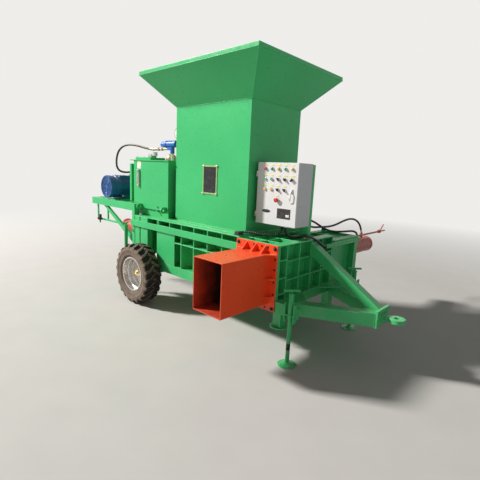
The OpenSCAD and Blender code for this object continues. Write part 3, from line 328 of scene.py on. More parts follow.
def moulded_sleeve(point, along, diameter):
    """A tapered rubber sleeve round a cable where it leaves its gland."""
    along = Vector(along).normalized()
    return [bar(point, point + along * 0.010, diameter * 1.5, 20),
            bar(point + along * 0.010, point + along * 0.040, diameter * 1.35, 20, diameter * 1.12)]


pressure_width, side_width, cable_width, bundle_width = 0.030, 0.026, 0.024, 0.026
pressure_points = route(
    (-400, -210, 2001), (-490, -223, 2007), (-580, -246, 2022), (-670, -272, 2042), (-760, -293, 2056),
    (-850, -308, 2062), (-930, -319, 2058), (-1000, -328, 2044), (-1062, -334, 2020), (-1116, -340, 1982),
    (-1156, -345, 1928), (-1178, -349, 1864), (-1184, -350, 1796), (-1183, -340, 1730), (-1175, -308, 1682),
    (-1162, -252, 1660), (-1143, -185, 1658), (-1118, -110, 1668), (-1088, -28, 1676), (-1064, 38, 1662),
    (-1048, 84, 1626), (-1039, 110, 1582), (-1036, 120, 1542))
free_hose("hose_pressure", "pressure_hose", pressure_points, pressure_width, dusty_rubber)
rod_side_points = route(
    (1520, 580, 1145), (1524, 640, 1151), (1540, 700, 1165), (1568, 754, 1175), (1604, 804, 1170),
    (1646, 852, 1146), (1694, 892, 1110), (1748, 926, 1075), (1808, 958, 1052), (1872, 990, 1046),
    (1932, 1022, 1050), (1984, 1058, 1057), (2022, 1106, 1062), (2046, 1160, 1056), (2056, 1214, 1032),
    (2048, 1256, 992), (2026, 1282, 952), (1995, 1292, 915))
free_hose("hose_rod_side", "rod_side_hose", rod_side_points, side_width, hose_rubber)
head_side_points = route(
    (1590, 580, 1145), (1593, 656, 1139), (1602, 732, 1116), (1616, 808, 1090), (1638, 884, 1078),
    (1662, 960, 1078), (1694, 1028, 1079), (1742, 1088, 1089), (1788, 1144, 1112), (1826, 1206, 1144),
    (1854, 1274, 1170), (1876, 1350, 1184), (1893, 1428, 1180), (1904, 1506, 1156), (1910, 1578, 1114),
    (1910, 1640, 1056), (1906, 1700, 965))
free_hose("hose_head_side", "head_side_hose", head_side_points, side_width, hose_rubber)
cable_points = route(
    (1900, -200, 1208), (1896, -202, 1174), (1882, -210, 1145), (1858, -226, 1123), (1824, -252, 1113),
    (1770, -298, 1112), (1716, -340, 1116), (1664, -384, 1126), (1626, -432, 1132), (1606, -476, 1131),
    (1600, -514, 1128))
free_hose("cable_cabinet", "cabinet_cable", cable_points, cable_width, hose_rubber)
bundle_points = route(
    (1960, -230, 1208), (1962, -224, 1172), (1967, -207, 1141), (1979, -181, 1119), (2002, -152, 1108),
    (2040, -126, 1111), (2086, -110, 1122), (2132, -98, 1130), (2170, -74, 1124), (2192, -34, 1104),
    (2200, 18, 1080), (2199, 74, 1052), (2195, 126, 1026), (2190, 176, 1006), (2184, 223, 992))
free_hose("cable_bundle", "drawbar_cable", bundle_points, bundle_width, hose_rubber)

both_ends = ((0, 1), (-1, -2))
ferrules, sleeves = [], []
for points, diameter in ((pressure_points, pressure_width), (rod_side_points, side_width),
                         (head_side_points, side_width)):
    for end, beside in both_ends:
        ferrules += crimped_end(points[end], points[beside] - points[end], diameter)
assemble("hose_ferrules", ferrules, "frame", zinc, 0.0008, steps=1)
for points, diameter in ((cable_points, cable_width), (bundle_points, bundle_width)):
    for end, beside in both_ends:
        sleeves += moulded_sleeve(points[end], points[beside] - points[end], diameter)
assemble("cable_sleeves", sleeves, "frame", hose_rubber, 0.001)


def spiral_wrap(name, points, radius, pitch, thread):
    """A plastic spiral wound round a cable along its points."""
    path = []
    gone = 0.0
    for one, two in zip(points, points[1:]):
        along = (two - one).normalized()
        side = along.cross(Vector((0, 0, 1)) if abs(along.z) < 0.9 else Vector((1, 0, 0))).normalized()
        over = side.cross(along)
        steps = max(2, int((two - one).length / 0.0025))
        for step in range(steps):
            angle = 2 * math.pi * gone / pitch
            off = radius * (math.cos(angle) * side + math.sin(angle) * over)
            path.append(one.lerp(two, step / steps) + off)
            gone += (two - one).length / steps
    data = new_curve(name, thread, 1)
    straight_line(data, path)
    return as_mesh(name, data)


wrap_plastic = mottled("wrap_plastic", (0.20, 0.19, 0.17), 0.45, 0.0, spots=(60, 5), spread=(0.35, 0.7),
                       one=(0.30, 0.28, 0.25), two=(0.62, 0.58, 0.50))[0]
wrap = spiral_wrap("cable_spiral_wrap", cable_points[1:-1], radius=0.0118, pitch=0.024, thread=0.0044)
assemble("cable_spiral_wrap", [wrap], "frame", wrap_plastic, smooth=60)


# Floor and light

# A pale studio floor that fades into a pale background. A distant lamp stands
# where the sun stood in the photograph, behind the near rear corner, and a weak
# one ahead of the drawbar fills the shadows.
backdrop_white = (0.86, 0.85, 0.83, 1)
bpy.ops.object.select_all(action="DESELECT")
bpy.ops.mesh.primitive_circle_add(vertices=96, radius=40, fill_type="NGON", location=(0, 0, 0))
floor = bpy.context.object
floor.name = "studio_floor"
floor_paint, tree, shader, place = paint_nodes("studio_floor", (0.66, 0.64, 0.61), 0.9)
colour_by(tree, shader, noise(tree, place, 3.0, 8), (0.50, 0.487, 0.465), (0.56, 0.544, 0.52))
reach = tree.nodes.new("ShaderNodeVectorMath")
reach.operation = "LENGTH"
tree.links.new(place, reach.inputs[0])
glow = tree.nodes.new("ShaderNodeEmission")
glow.inputs["Color"].default_value = backdrop_white
fade = tree.nodes.new("ShaderNodeMixShader")
tree.links.new(ramp(tree, reach.outputs["Value"], 3.5, 12.0), fade.inputs["Fac"])
tree.links.new(shader.outputs["BSDF"], fade.inputs[1])
tree.links.new(glow.outputs["Emission"], fade.inputs[2])
tree.links.new(fade.outputs["Shader"], tree.nodes["Material Output"].inputs["Surface"])
floor.data.materials.append(floor_paint)

world = bpy.data.worlds.new("studio")
bpy.context.scene.world = world
world.use_nodes = True
tree = world.node_tree
backdrop = tree.nodes["Background"]
ray = tree.nodes.new("ShaderNodeLightPath")
seen = reckon(tree, "MAXIMUM", ray.outputs["Is Camera Ray"], ray.outputs["Is Transmission Ray"])
seen = reckon(tree, "MAXIMUM", seen, ray.outputs["Is Glossy Ray"])
tree.links.new(ramp(tree, seen, 0, 1, 0.17, 1.0), backdrop.inputs["Strength"])
backdrop.inputs["Color"].default_value = backdrop_white


def soft_lamp(name, place, aim, size, power, colour):
    """A square lamp at place that shines on aim."""
    data = bpy.data.lights.new(name, "AREA")
    data.size = size
    data.energy = power
    data.color = colour
    lamp = bpy.data.objects.new(name, data)
    shine = (Vector(aim) - Vector(place)).to_track_quat("-Z", "Y")
    lamp.matrix_world = Matrix.Translation(place) @ shine.to_matrix().to_4x4()
    bpy.context.scene.collection.objects.link(lamp)


middle = Vector((0.2, -0.3, 1.0))
sunward = Vector((-0.679, -0.482, 0.554))
soft_lamp("key_lamp", middle + 30 * sunward, middle, 3.0, 15200, (1.0, 0.98, 0.95))
soft_lamp("fill_lamp", (8.0, -2.0, 4.0), (0.5, 0, 0.8), 5.0, 20, (0.93, 0.97, 1.0))


# Green steelwork

# Plates, tubes and ribs of mild steel, welded together and sprayed with a
# bright green gloss enamel. Plate edges are ground over a little, dust lies
# on level faces and splashed dirt along the bottom.
def painted_steel(name, colour, deep, dust=(0.42, 0.38, 0.30), dusty=0.35, edge=0.0, gloss=0.25):
    """Gloss enamel over steel: slow random shifts of tone, an orange peel skin, dust above and dirt below;
    edge adds pale patches, a painted highlight with some rubbed wear.
    """
    made, tree, shader, place = paint_nodes(name, colour, 0.3)
    shader.inputs["Specular IOR Level"].default_value = gloss
    shade = blend_colours(tree, ramp(tree, noise(tree, place, 1.3, 3), 0.3, 0.7), deep, colour)
    shade = blend_colours(tree, ramp(tree, noise(tree, place, 9, 6), 0.35, 0.8, 0.0, 0.35), shade, deep)
    specks = reckon(tree, "MULTIPLY", ramp(tree, facing(tree, "Z"), 0.6, 1.0),
                    ramp(tree, noise(tree, place, 14, 8), 0.42, 0.75, 0.0, dusty))
    shade = blend_colours(tree, specks, shade, dust)
    low = reckon(tree, "MULTIPLY", ramp(tree, along_axis(tree, place, "Z"), 0.75, 0.2),
                 ramp(tree, noise(tree, place, 6, 8), 0.4, 0.7, 0.0, dusty * 0.7))
    shade = blend_colours(tree, low, shade, dust)
    streaks = ramp(tree, noise(tree, place, 16, 3, (1, 1, 0.06)), 0.60, 0.85, 0.0, dusty * 0.3)
    runs = reckon(tree, "MULTIPLY", streaks, ramp(tree, facing(tree, "Z"), 0.3, 0.0))
    shade = blend_colours(tree, runs, shade, tuple(0.55 * c + 0.08 for c in deep))
    # Where edge is given, the colour turns in patches towards a paler copy. On the rounded edges this is a
    # painted highlight of the light they catch, with some rubbed wear.
    if edge:
        highlight_and_rubs = ramp(tree, noise(tree, place, 45, 6), 0.5, 0.62, 0.12, edge)
        shade = blend_colours(tree, highlight_and_rubs, shade, tuple(min(1, c * 1.25 + 0.12) for c in colour))
    tree.links.new(shade, shader.inputs["Base Color"])
    vary(tree, shader, place, "Roughness", (22, 6), (0.3, 0.75, 0.24, 0.46))
    bump(tree, shader, noise(tree, place, 260, 2), 0.10, 0.0008)
    return made


def close_faces():
    """Leave edit mode with nothing selected."""
    bpy.ops.mesh.select_all(action="DESELECT")
    bpy.ops.object.mode_set(mode="OBJECT")


def dress(node, name, body, finish, edge_finish, round_over, smooth=40):
    """A copy of the CAD solid in its place, with its triangles merged and its edges rounded over."""
    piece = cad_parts[node].copy()
    piece.data = piece.data.copy()
    piece.name = piece.data.name = name
    for key in list(piece.keys()):
        del piece[key]
    piece.parent = None
    bpy.context.scene.collection.objects.link(piece)
    piece.data.materials.clear()
    piece.data.materials.append(finish)
    piece.data.materials.append(edge_finish)
    for layer in list(piece.data.uv_layers):
        piece.data.uv_layers.remove(layer)
    choose(piece)
    bpy.ops.object.mode_set(mode="EDIT")
    bpy.ops.mesh.select_all(action="SELECT")
    bpy.ops.mesh.remove_doubles(threshold=0.00002)
    bpy.ops.mesh.customdata_custom_splitnormals_clear()
    bpy.ops.mesh.dissolve_limited(angle_limit=math.radians(0.5), use_dissolve_boundaries=False)
    bpy.ops.mesh.vert_connect_concave()
    close_faces()
    # The rounded edges' faces take the edge finish. For painted parts it is a paler copy of the paint: a
    # painted highlight.
    round_edges(piece, round_over, 2, edge_finish=1)
    bpy.ops.object.shade_smooth_by_angle(angle=math.radians(smooth))
    evening = piece.modifiers.new("evening", "WEIGHTED_NORMAL")
    evening.keep_sharp = True
    bpy.ops.object.modifier_apply(modifier=evening.name)
    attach(piece, body)
    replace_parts(piece, node)
    return piece


green = painted_steel("green_enamel", (0.055, 0.50, 0.17), (0.040, 0.43, 0.14))
# The rounded edges take a lighter copy of the green: a painted highlight.
green_edge_highlight = painted_steel("green_enamel_edge_highlight", (0.10, 0.58, 0.24), (0.08, 0.50, 0.20), edge=0.45)
steelwork = {}
for node in ("chamber_side_near", "chamber_side_far", "side_bands", "chamber_floor", "chamber_deck",
             "sills", "rear_columns", "head_plate", "tower", "hopper", "block_front", "block_back",
             "block_top", "block_floor", "side_housing", "platform_beams", "platform_crossbars",
             "platform_braces", "motor_plate", "limit_rail", "tank_base", "oil_tank", "cabinet_post",
             "drawbar_beams", "drawbar_cross", "drawbar_strut", "nose_plate", "tow_eye", "front_legs",
             "jack_tubes"):
    steelwork[node] = dress(node, "green_" + node, "frame", green, green_edge_highlight, 0.0025)
for corner in ("front_near", "front_far", "rear_near", "rear_far"):
    dress("jack_foot_" + corner, "green_jack_foot_" + corner, "jack_leg_" + corner, green, green_edge_highlight,
          0.0015)
axle_paint = painted_steel("axle_enamel", (0.030, 0.22, 0.08), (0.02, 0.14, 0.05), dusty=0.7)
dress("axle", "green_axle", "frame", axle_paint, axle_paint, 0.002)


# Weld beads

# The plates are joined by hand-laid fillet welds a few millimetres wide, with a
# ripple every few millimetres, and painted over with the steelwork.
def weld_beads(name, runs, finish):
    """Rippled beads along the runs, each of them from one place to another, as one piece."""
    data = new_curve(name, 0.0100, 1)
    for start, end in runs:
        start, end = at(*start), at(*end)
        steps = max(1, int((end - start).length / 0.006))
        bead = straight_line(data, [start.lerp(end, step / steps) for step in range(steps)] + [end])
        for count, knot in enumerate(bead.points):
            knot.radius = (1.0, 0.72, 0.95, 0.68)[count % 4]
    assemble(name, [as_mesh(name, data)], "frame", finish, smooth=60)


def seam(z, *corners):
    """The runs of bead at one height, from corner to corner."""
    places = [(x, y, z) for x, y in corners]
    return list(zip(places, places[1:]))


front_x, nose_x, rib_y, wall_y = 2170, 2962, 580, 430
deck_rear, deck_front, deck_y, deck_z = 330, 1635, 500, 1106
tower_rear, tower_front, tower_foot, throat_z = 400, 1600, 1118, 2465
rim_rear, rim_front, rim_y, rim_z = 75, 1925, 740, 2810
beam_foot, beam_top, beam_in, beam_out, nose_y = 419, 539, 389, 525, 132
strut_y, strut_low, strut_high = 50, 932, 1062
strut_runs = [((front_x, y, strut_low), (front_x, y, strut_high)) for y in (-strut_y, strut_y)]
strut_runs += seam(strut_high, (front_x, -strut_y), (front_x, strut_y))
strut_runs += seam(569, (nose_x - 25, -strut_y), (nose_x - 25, strut_y))
strut_runs += seam(549, (nose_x - 145, -strut_y), (nose_x - 25, -strut_y))
drawbar_runs = []
for side in (-1, 1):
    drawbar_runs += [((x, side * y, beam_top), (x, side * y, beam_foot))
                     for x, y in ((front_x, beam_in), (front_x, beam_out))]
    drawbar_runs.append(((front_x, side * beam_out, beam_top), (front_x, side * 150, 551)))
    drawbar_runs.append(((nose_x - 25, side * nose_y, beam_top), (nose_x - 25, side * nose_y, beam_foot)))
foot_runs = seam(deck_z, (deck_rear, -deck_y), (deck_front, -deck_y), (deck_front, deck_y))
foot_runs += seam(tower_foot, (tower_rear, -wall_y), (tower_front, -wall_y), (tower_front, wall_y))
hopper_runs = seam(throat_z, (tower_rear, -wall_y), (tower_front, -wall_y), (tower_front, wall_y),
                   (tower_rear, wall_y), (tower_rear, -wall_y))
hopper_runs += seam(rim_z, (rim_rear, -rim_y), (rim_front, -rim_y), (rim_front, rim_y))
side_runs = [((581, -rib_y, z), (581, -wall_y - 12, z)) for z in (850, 862)]
column_runs = [((x, -rib_y, 560), (x, -rib_y + 80, 560)) for x in (-312, -298, -187, -161, 2)]
eye_runs = [((nose_x, y, 466), (nose_x, y, 526)) for y in (-40, 40)]
eye_runs += [((nose_x + 20, y, 476), (nose_x + 20, y, 516)) for y in (-32, 32)]
weld_beads("green_weld_beads",
           strut_runs + drawbar_runs + foot_runs + hopper_runs + side_runs + column_runs + eye_runs,
           green)


# Bolts

# Hexagon bolts with flat washers hold the motor, the cabinet's post and, further on,
# the chute's flange and the tank's lid. They are zinc-plated or of black oxide steel.
up, to_near, to_far = (0, 0, 1), (0, -1, 0), (0, 1, 0)


def open_faces(piece, numbers):
    """Go into edit mode on a piece, with only the faces of those numbers selected."""
    choose(piece)
    bpy.ops.object.mode_set(mode="EDIT")
    bpy.ops.mesh.select_mode(type="FACE")
    bpy.ops.mesh.select_all(action="DESELECT")
    bpy.ops.object.mode_set(mode="OBJECT")
    for number in numbers:
        piece.data.polygons[number].select = True
    bpy.ops.object.mode_set(mode="EDIT")


def shape_face(piece, way, inset, push):
    """Inset the faces that look along way, and move what is left of them that way by push."""
    way = Vector(way).normalized()
    turn = piece.matrix_world.to_3x3()
    open_faces(piece, [face.index for face in piece.data.polygons
                       if (turn @ face.normal).normalized().dot(way) > 0.99])
    bpy.ops.mesh.inset(thickness=inset)
    bpy.ops.transform.translate(value=way * push)
    close_faces()
    return piece


def copy_to(master, placing):
    """A copy of an object with its own mesh, put in its place by a matrix."""
    copy = master.copy()
    copy.data = master.data.copy()
    copy.matrix_world = placing
    bpy.context.scene.collection.objects.link(copy)
    return copy


def hex_bolts(name, places, outward, across, body="frame", finish=zinc):
    """Hexagon heads on washers at the places, all looking outward, as one piece; across is a head's width."""
    washer_top, head_top = (0, 0, across * 0.16), (0, 0, across * 0.72)
    washer = shape_face(bar((0, 0, 0), washer_top, across * 2.0, 20), up, across * 0.1, 0.0004)
    head = shape_face(bar(washer_top, head_top, across * 1.15, 6), up, across * 0.13, across * 0.09)
    master = join([washer, head])
    lean = Vector(outward).to_track_quat("Z", "Y").to_matrix().to_4x4()
    copies = []
    for count, place in enumerate(places):
        turned = Matrix.Rotation(math.radians(17 * count), 4, "Z")
        copies.append(copy_to(master, Matrix.Translation(at(*place)) @ lean @ turned))
    bpy.data.objects.remove(master)
    assemble(name, copies, body, finish)


def ring(count, radius, lead=0.0):
    """Places evenly round a circle, as steps sideways and up from its middle."""
    angles = [math.radians(lead + 360 / count * turn) for turn in range(count)]
    return [(radius * math.cos(angle), radius * math.sin(angle)) for angle in angles]


channel_x, side_cylinder_z = 1906, 800
black_bolt = mottled("black_oxide_bolt", (0.03, 0.025, 0.022), 0.45, 0.5, spots=(80, 5), spread=(0.4, 0.7),
                     one=(0.020, 0.018, 0.017), two=(0.10, 0.055, 0.035), grain=(400, 2, 0.2, 0.0003))[0]
motor_feet = [(x, y, 1304) for x in (-1156, -916) for y in (-404, -144)]
hex_bolts("motor_foot_bolts", motor_feet, up, 0.022)
post_foot = [(x, y, 1102) for x in (2032, 2112) for y in (-93, 7)]
hex_bolts("post_foot_bolts", post_foot, up, 0.016)
flange_bolts = [(channel_x + over, 1062, side_cylinder_z + rise) for over, rise in ring(8, 112, 22.5)]
hex_bolts("cylinder_flange_bolts", flange_bolts, to_far, 0.018)


# Chute

# A short duct of red-painted plate for the finished bales, with a flange bolted
# round the way out of the block, folded gussets and a plain sheared mouth.
def faces_between(piece, low, high):
    """The numbers of a piece's faces that lie wholly between two corners in the drawing's millimetres."""
    low, high = at(*low), at(*high)
    inside = [all(a <= c <= b for a, c, b in zip(low, corner.co, high)) for corner in piece.data.vertices]
    return [face.index for face in piece.data.polygons if all(inside[v] for v in face.vertices)]


def paint_between(piece, low, high, finish):
    """Give another finish to the faces between two corners."""
    piece.data.materials.append(finish)
    for number in faces_between(piece, low, high):
        piece.data.polygons[number].material_index = len(piece.data.materials) - 1


red = painted_steel("red_enamel", (0.93, 0.085, 0.018), (0.84, 0.066, 0.014), dusty=0.12)
# The rounded edges take a lighter copy of the red: a painted highlight.
red_edge_highlight = painted_steel("red_enamel_edge_highlight", (0.95, 0.16, 0.05), (0.88, 0.10, 0.03), edge=0.5)
chute = dress("chute", "red_chute", "frame", red, red_edge_highlight, 0.0025)
# Inside the duct the red darkens towards black the deeper it lies behind the mouth, with some noise: painted
# shade of the recess.
duct_shade_paint, tree, shader, place = paint_nodes("duct_painted_shade", (0.25, 0.03, 0.012), 0.5)
depth_shade = reckon(tree, "ADD", ramp(tree, along_axis(tree, place, "Y"), -1.84, -1.52),
                ramp(tree, noise(tree, place, 7, 8), 0.3, 0.7, -0.20, 0.30))
colour_by(tree, shader, ramp(tree, depth_shade, 0.0, 1.0), (0.62, 0.060, 0.018), (0.035, 0.018, 0.012))
vary(tree, shader, place, "Roughness", (26, 6), (0.3, 0.7, 0.35, 0.7))
bump(tree, shader, noise(tree, place, 90, 4, (1, 0.1, 1)), 0.3, 0.001)
duct_rear, duct_front, duct_low, duct_high, duct_mouth, duct_root = 1728, 2084, 518, 1006, -1245, -500
paint_between(chute, (duct_rear + 1, duct_mouth, 500), (duct_front - 1, duct_root, duct_high - 1), duct_shade_paint)

flange_y, flange_low, flange_high = -612, 450, 1092
small = [(x, flange_y, z) for z in (flange_high - 28, flange_low + 24) for x in (1776, 1876, 1976, 2052)]
small += [(x, flange_y, z) for x in (1668, 2142) for z in (620, 740, 860, 960)]
hex_bolts("chute_bolts_small", small, to_near, 0.011, "frame", black_bolt)
big = [(x, flange_y, z) for x in (1676, 2136) for z in (flange_low + 28, flange_high - 32)]
hex_bolts("chute_bolts_corner", big, to_near, 0.020, "frame", black_bolt)
chute_runs = [((x, flange_y, duct_low), (x, flange_y, duct_high)) for x in (duct_rear, duct_front)]
chute_runs += seam(duct_high, (duct_rear, flange_y), (duct_front, flange_y))
weld_beads("red_weld_beads", chute_runs, red)


# Cylinders and rams

# Seamless barrels and the rams' bodies in brick-red primer, their rods ground and
# hard chromed, and the thin indicator rod with its fork painted with the ram.
oxide = painted_steel("oxide_primer", (0.50, 0.095, 0.07), (0.40, 0.07, 0.05))
# The rounded edges take a lighter copy of the primer: a painted highlight.
oxide_edge_highlight = painted_steel("oxide_primer_edge_highlight", (0.60, 0.15, 0.11), (0.5, 0.1, 0.07), edge=0.4)
chrome, tree, shader, place = mottled(
    "hard_chrome", (0.62, 0.62, 0.63), 0.16, 1.0, spots=(18, 6), spread=(0.5, 0.75, 0.0, 0.5),
    one=(0.62, 0.62, 0.63), two=(0.36, 0.33, 0.29))
vary(tree, shader, place, "Roughness", (240, 3, (1, 0.08, 1)), (0.3, 0.7, 0.12, 0.26))
rod_radius = 0.0565
main_line, side_line = at(0, 0, 762), at(channel_x, 0, side_cylinder_z)
for node, body in (("main_cylinder", "frame"), ("side_cylinder", "frame"), ("main_ram", "press_ram"),
                   ("side_ram", "push_ram"), ("indicator_rod", "push_ram")):
    piece = dress(node, "oxide_" + node, body, oxide, oxide_edge_highlight, 0.002)
    piece.data.materials.append(chrome)
    places = [corner.co for corner in piece.data.vertices]
    offs = []
    if node == "main_ram":
        offs = [math.hypot(place.y - main_line.y, place.z - main_line.z) for place in places]
    elif node == "side_ram":
        offs = [math.hypot(place.x - side_line.x, place.z - side_line.z) for place in places]
    for face in piece.data.polygons:
        if offs and all(offs[v] < rod_radius for v in face.vertices):
            face.material_index = 2


# Wheels

# Wide tyres with bent lugs, moulded in black rubber and grey-brown with dust on the
# sidewalls, on zinc-plated two-piece rims. A castle nut with a split pin holds each.
axle_x, axle_z, wheel_y, hub_end = 25, 386, 736, 790
axle_line = at(axle_x, 0, axle_z)
axle_way = Vector((0, 1, 0))


def round_the_axle(tree, place):
    """The distance from the axle's line, in metres."""
    mapping = tree.nodes.new("ShaderNodeMapping")
    mapping.inputs["Scale"].default_value = (1, 0, 1)
    mapping.inputs["Location"].default_value = (-axle_line.x, 0, -axle_line.z)
    tree.links.new(place, mapping.inputs["Vector"])
    measure = tree.nodes.new("ShaderNodeVectorMath")
    measure.operation = "LENGTH"
    tree.links.new(mapping.outputs["Vector"], measure.inputs[0])
    return measure.outputs["Value"]


tyre_rubber, tree, shader, place = paint_nodes("tyre_rubber", (0.02, 0.02, 0.02), 0.8)
shader.inputs["Specular IOR Level"].default_value = 0.3
out = round_the_axle(tree, place)
patches = noise(tree, place, 11, 8)
wall = ramp(tree, reckon(tree, "ABSOLUTE", facing(tree, "Y"), 0.0), 0.45, 0.80)
dusty_share, tread_share = ramp(tree, patches, 0.3, 0.7), ramp(tree, patches, 0.4, 0.8)
wall_colour = blend_colours(tree, dusty_share, (0.135, 0.100, 0.074), (0.225, 0.175, 0.132))
scuffs = ramp(tree, noise(tree, place, 60, 5), 0.55, 0.75, 0.0, 0.5)
wall_colour = blend_colours(tree, scuffs, wall_colour, (0.06, 0.046, 0.036))
tread_dust = reckon(tree, "MULTIPLY", ramp(tree, facing(tree, "Z"), -0.1, 0.75),
                    ramp(tree, out, 0.366, 0.380))
tread_dust = reckon(tree, "MULTIPLY", tread_dust, ramp(tree, patches, 0.28, 0.62, 0.35, 1.0))
tread_colour = blend_colours(tree, tread_share, (0.012, 0.011, 0.011), (0.038, 0.032, 0.027))
tread_colour = blend_colours(tree, tread_dust, tread_colour, (0.20, 0.16, 0.125))
colour_by(tree, shader, wall, tread_colour, wall_colour)
ridge_pitch = 0.0135
ridges = reckon(tree, "SINE", reckon(tree, "MULTIPLY", out, 2 * math.pi / ridge_pitch), 0.0)
in_band = reckon(tree, "MULTIPLY", ramp(tree, out, 0.262, 0.268), ramp(tree, out, 0.312, 0.306))
relief = reckon(tree, "ADD", reckon(tree, "MULTIPLY", ridges, in_band),
                reckon(tree, "MULTIPLY", noise(tree, place, 180, 3), 0.5))
bump(tree, shader, relief, 0.55, 0.0022)


def slab(low, high):
    """A rectangular block between two opposite corners."""
    low, high = Vector(low), Vector(high)
    bpy.ops.object.select_all(action="DESELECT")
    bpy.ops.mesh.primitive_cube_add(size=1, location=(low + high) / 2, scale=[abs(s) for s in high - low])
    bpy.ops.object.transform_apply(location=True, rotation=True, scale=True)
    return bpy.context.object


def tyre_carcass(middle_y):
    """The tyre's body: half its section drawn as a line, mirrored and spun round the axle."""
    half = ((214, 86), (228, 86), (236, 98), (246, 106), (252, 107), (254, 110), (259, 110), (261, 108),
            (282, 114), (304, 117), (306, 119.5), (314, 119.5), (316, 117.5), (332, 116), (346, 111),
            (355, 100), (360, 78), (363, 40), (364, 0))
    section = half + tuple((r, -y) for r, y in reversed(half[:-1]))
    data = new_curve("tyre_section")
    straight_line(data, [(axle_line.x, middle_y + y / 1000, axle_line.z + r / 1000) for r, y in section])
    carcass = as_mesh("tyre_section", data)
    bpy.ops.object.mode_set(mode="EDIT")
    bpy.ops.mesh.select_all(action="SELECT")
    bpy.ops.mesh.spin(steps=96, angle=2 * math.pi, center=axle_line, axis=axle_way)
    bpy.ops.mesh.select_all(action="SELECT")
    bpy.ops.mesh.remove_doubles(threshold=0.0001)
    bpy.ops.mesh.normals_make_consistent(inside=False)
    bpy.ops.object.mode_set(mode="OBJECT")
    return carcass


def tyre_lug(middle_y, side):
    """One bent lug, pushed out step by step from the tread's middle over the shoulder of one side."""
    base, top, wide = 0.352, 0.3855, 0.040
    lug = slab((axle_line.x - wide / 2, middle_y - side * 0.010, axle_line.z + base),
               (axle_line.x + wide / 2, middle_y + side * 0.002, axle_line.z + top))
    open_faces(lug, [face.index for face in lug.data.polygons if face.normal.y * side > 0.9])
    turned = 0.0
    for out_by, angle, drop in ((0.030, 0.085, 0.0), (0.032, 0.065, 0.001), (0.026, 0.022, 0.005),
                                (0.018, 0.008, 0.011), (0.007, 0.003, 0.017), (0.002, 0.0, 0.016)):
        step = (-math.sin(turned) * drop, side * out_by, -math.cos(turned) * drop)
        bpy.ops.mesh.extrude_region_move(TRANSFORM_OT_translate={"value": step})
        bpy.ops.transform.rotate(value=-angle, orient_axis="Y", center_override=axle_line)
        turned += angle
    bpy.ops.mesh.select_all(action="SELECT")
    bpy.ops.mesh.normals_make_consistent(inside=False)
    bpy.ops.object.mode_set(mode="OBJECT")
    return lug


def lugged_tyre(name, node, middle_y, body):
    """A carcass with two rows of staggered lugs, in the place of the plain solid."""
    parts = [tyre_carcass(middle_y)]
    lugs = 22
    for side, lead in ((-1, 0.0), (1, 0.5)):
        master = tyre_lug(middle_y, side)
        for count in range(lugs):
            turn = Matrix.Rotation((count + lead) * 2 * math.pi / lugs, 4, "Y")
            placing = Matrix.Translation(axle_line) @ turn @ Matrix.Translation(-axle_line)
            parts.append(copy_to(master, placing))
        bpy.data.objects.remove(master)
    tyre = assemble(name, parts, body, tyre_rubber, 0.003)
    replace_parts(tyre, node)


rim_metal, tree, shader, place = paint_nodes("rim_zinc", (0.60, 0.59, 0.58), 0.3, 0.9)
clouds = ramp(tree, noise(tree, place, 13, 7), 0.35, 0.7)
haze = blend_colours(tree, clouds, (0.72, 0.70, 0.68), (0.60, 0.56, 0.52))
dirt = ramp(tree, noise(tree, place, 18, 6), 0.48, 0.80, 0.0, 0.5)
colour_by(tree, shader, dirt, haze, (0.34, 0.28, 0.23))
vary(tree, shader, place, "Roughness", (30, 6), (0.3, 0.7, 0.22, 0.45))
vary(tree, shader, place, "Metallic", (18, 6), (0.48, 0.80, 0.78, 0.4))
bump(tree, shader, noise(tree, place, 120, 3), 0.15, 0.0006)
gold_zinc = mottled("gold_zinc", (0.86, 0.70, 0.34), 0.3, 0.9, spots=(70, 5), spread=(0.4, 0.7),
                    one=(0.88, 0.74, 0.40), two=(0.62, 0.46, 0.20), grain=(260, 2, 0.2, 0.0004))[0]

for side, way in (("near", -1), ("far", 1)):
    body = "wheel_" + side
    face_y, end_y, pin_y = way * wheel_y, way * hub_end, way * (wheel_y + 39)
    lugged_tyre("tyre_" + side + "_rubber", "tyre_" + side, at(0, face_y, 0).y, body)
    rim = dress("rim_" + side, "rim_" + side + "_metal", body, rim_metal, rim_metal, 0.0012,
                smooth=50)
    paint_between(rim, (axle_x - 46, min(face_y, end_y) - 1, axle_z - 46),
                  (axle_x + 46, max(face_y, end_y) + 1, axle_z + 46), gold_zinc)
    foot, seat, tip = [at(axle_x, face_y + way * out_by, axle_z + rise)
                       for out_by, rise in ((-34, 168), (4, 186), (20, 193))]
    valve = [bar(foot, seat, 0.010, 16), bar(seat, tip, 0.014, 12, 0.012)]
    assemble("tyre_valve_" + side, valve, body, hose_rubber, 0.001)
    eye_end, leg_end, bent, loop = route((-12, pin_y, axle_z), (62, pin_y, axle_z),
                                         (56, pin_y + way * 6, axle_z + 10), (-16, pin_y, axle_z - 8))
    pin = [bar(eye_end, leg_end, 0.005, 10), bar(leg_end, bent, 0.004, 10), bar(eye_end, loop, 0.008, 10)]
    assemble("split_pin_" + side, pin, body, gold_zinc, 0.0006)


# Sight window

# A pane of dark glass that shows how full the tower is, held in a thin painted
# border with a screw in each corner; crop dust has settled on its inside.
glass, tree, shader, place = paint_nodes("dark_glass", (0.012, 0.013, 0.014), 0.12)
haze = ramp(tree, noise(tree, place, 22, 8), 0.38, 0.72, 0.0, 1.0)
settled = reckon(tree, "MULTIPLY", haze, ramp(tree, along_axis(tree, place, "Z"), 1.80, 1.50, 0.35, 1.0))
colour_by(tree, shader, settled, (0.007, 0.009, 0.010), (0.032, 0.033, 0.034))
tree.links.new(ramp(tree, haze, 0, 1, 0.10, 0.35), shader.inputs["Roughness"])
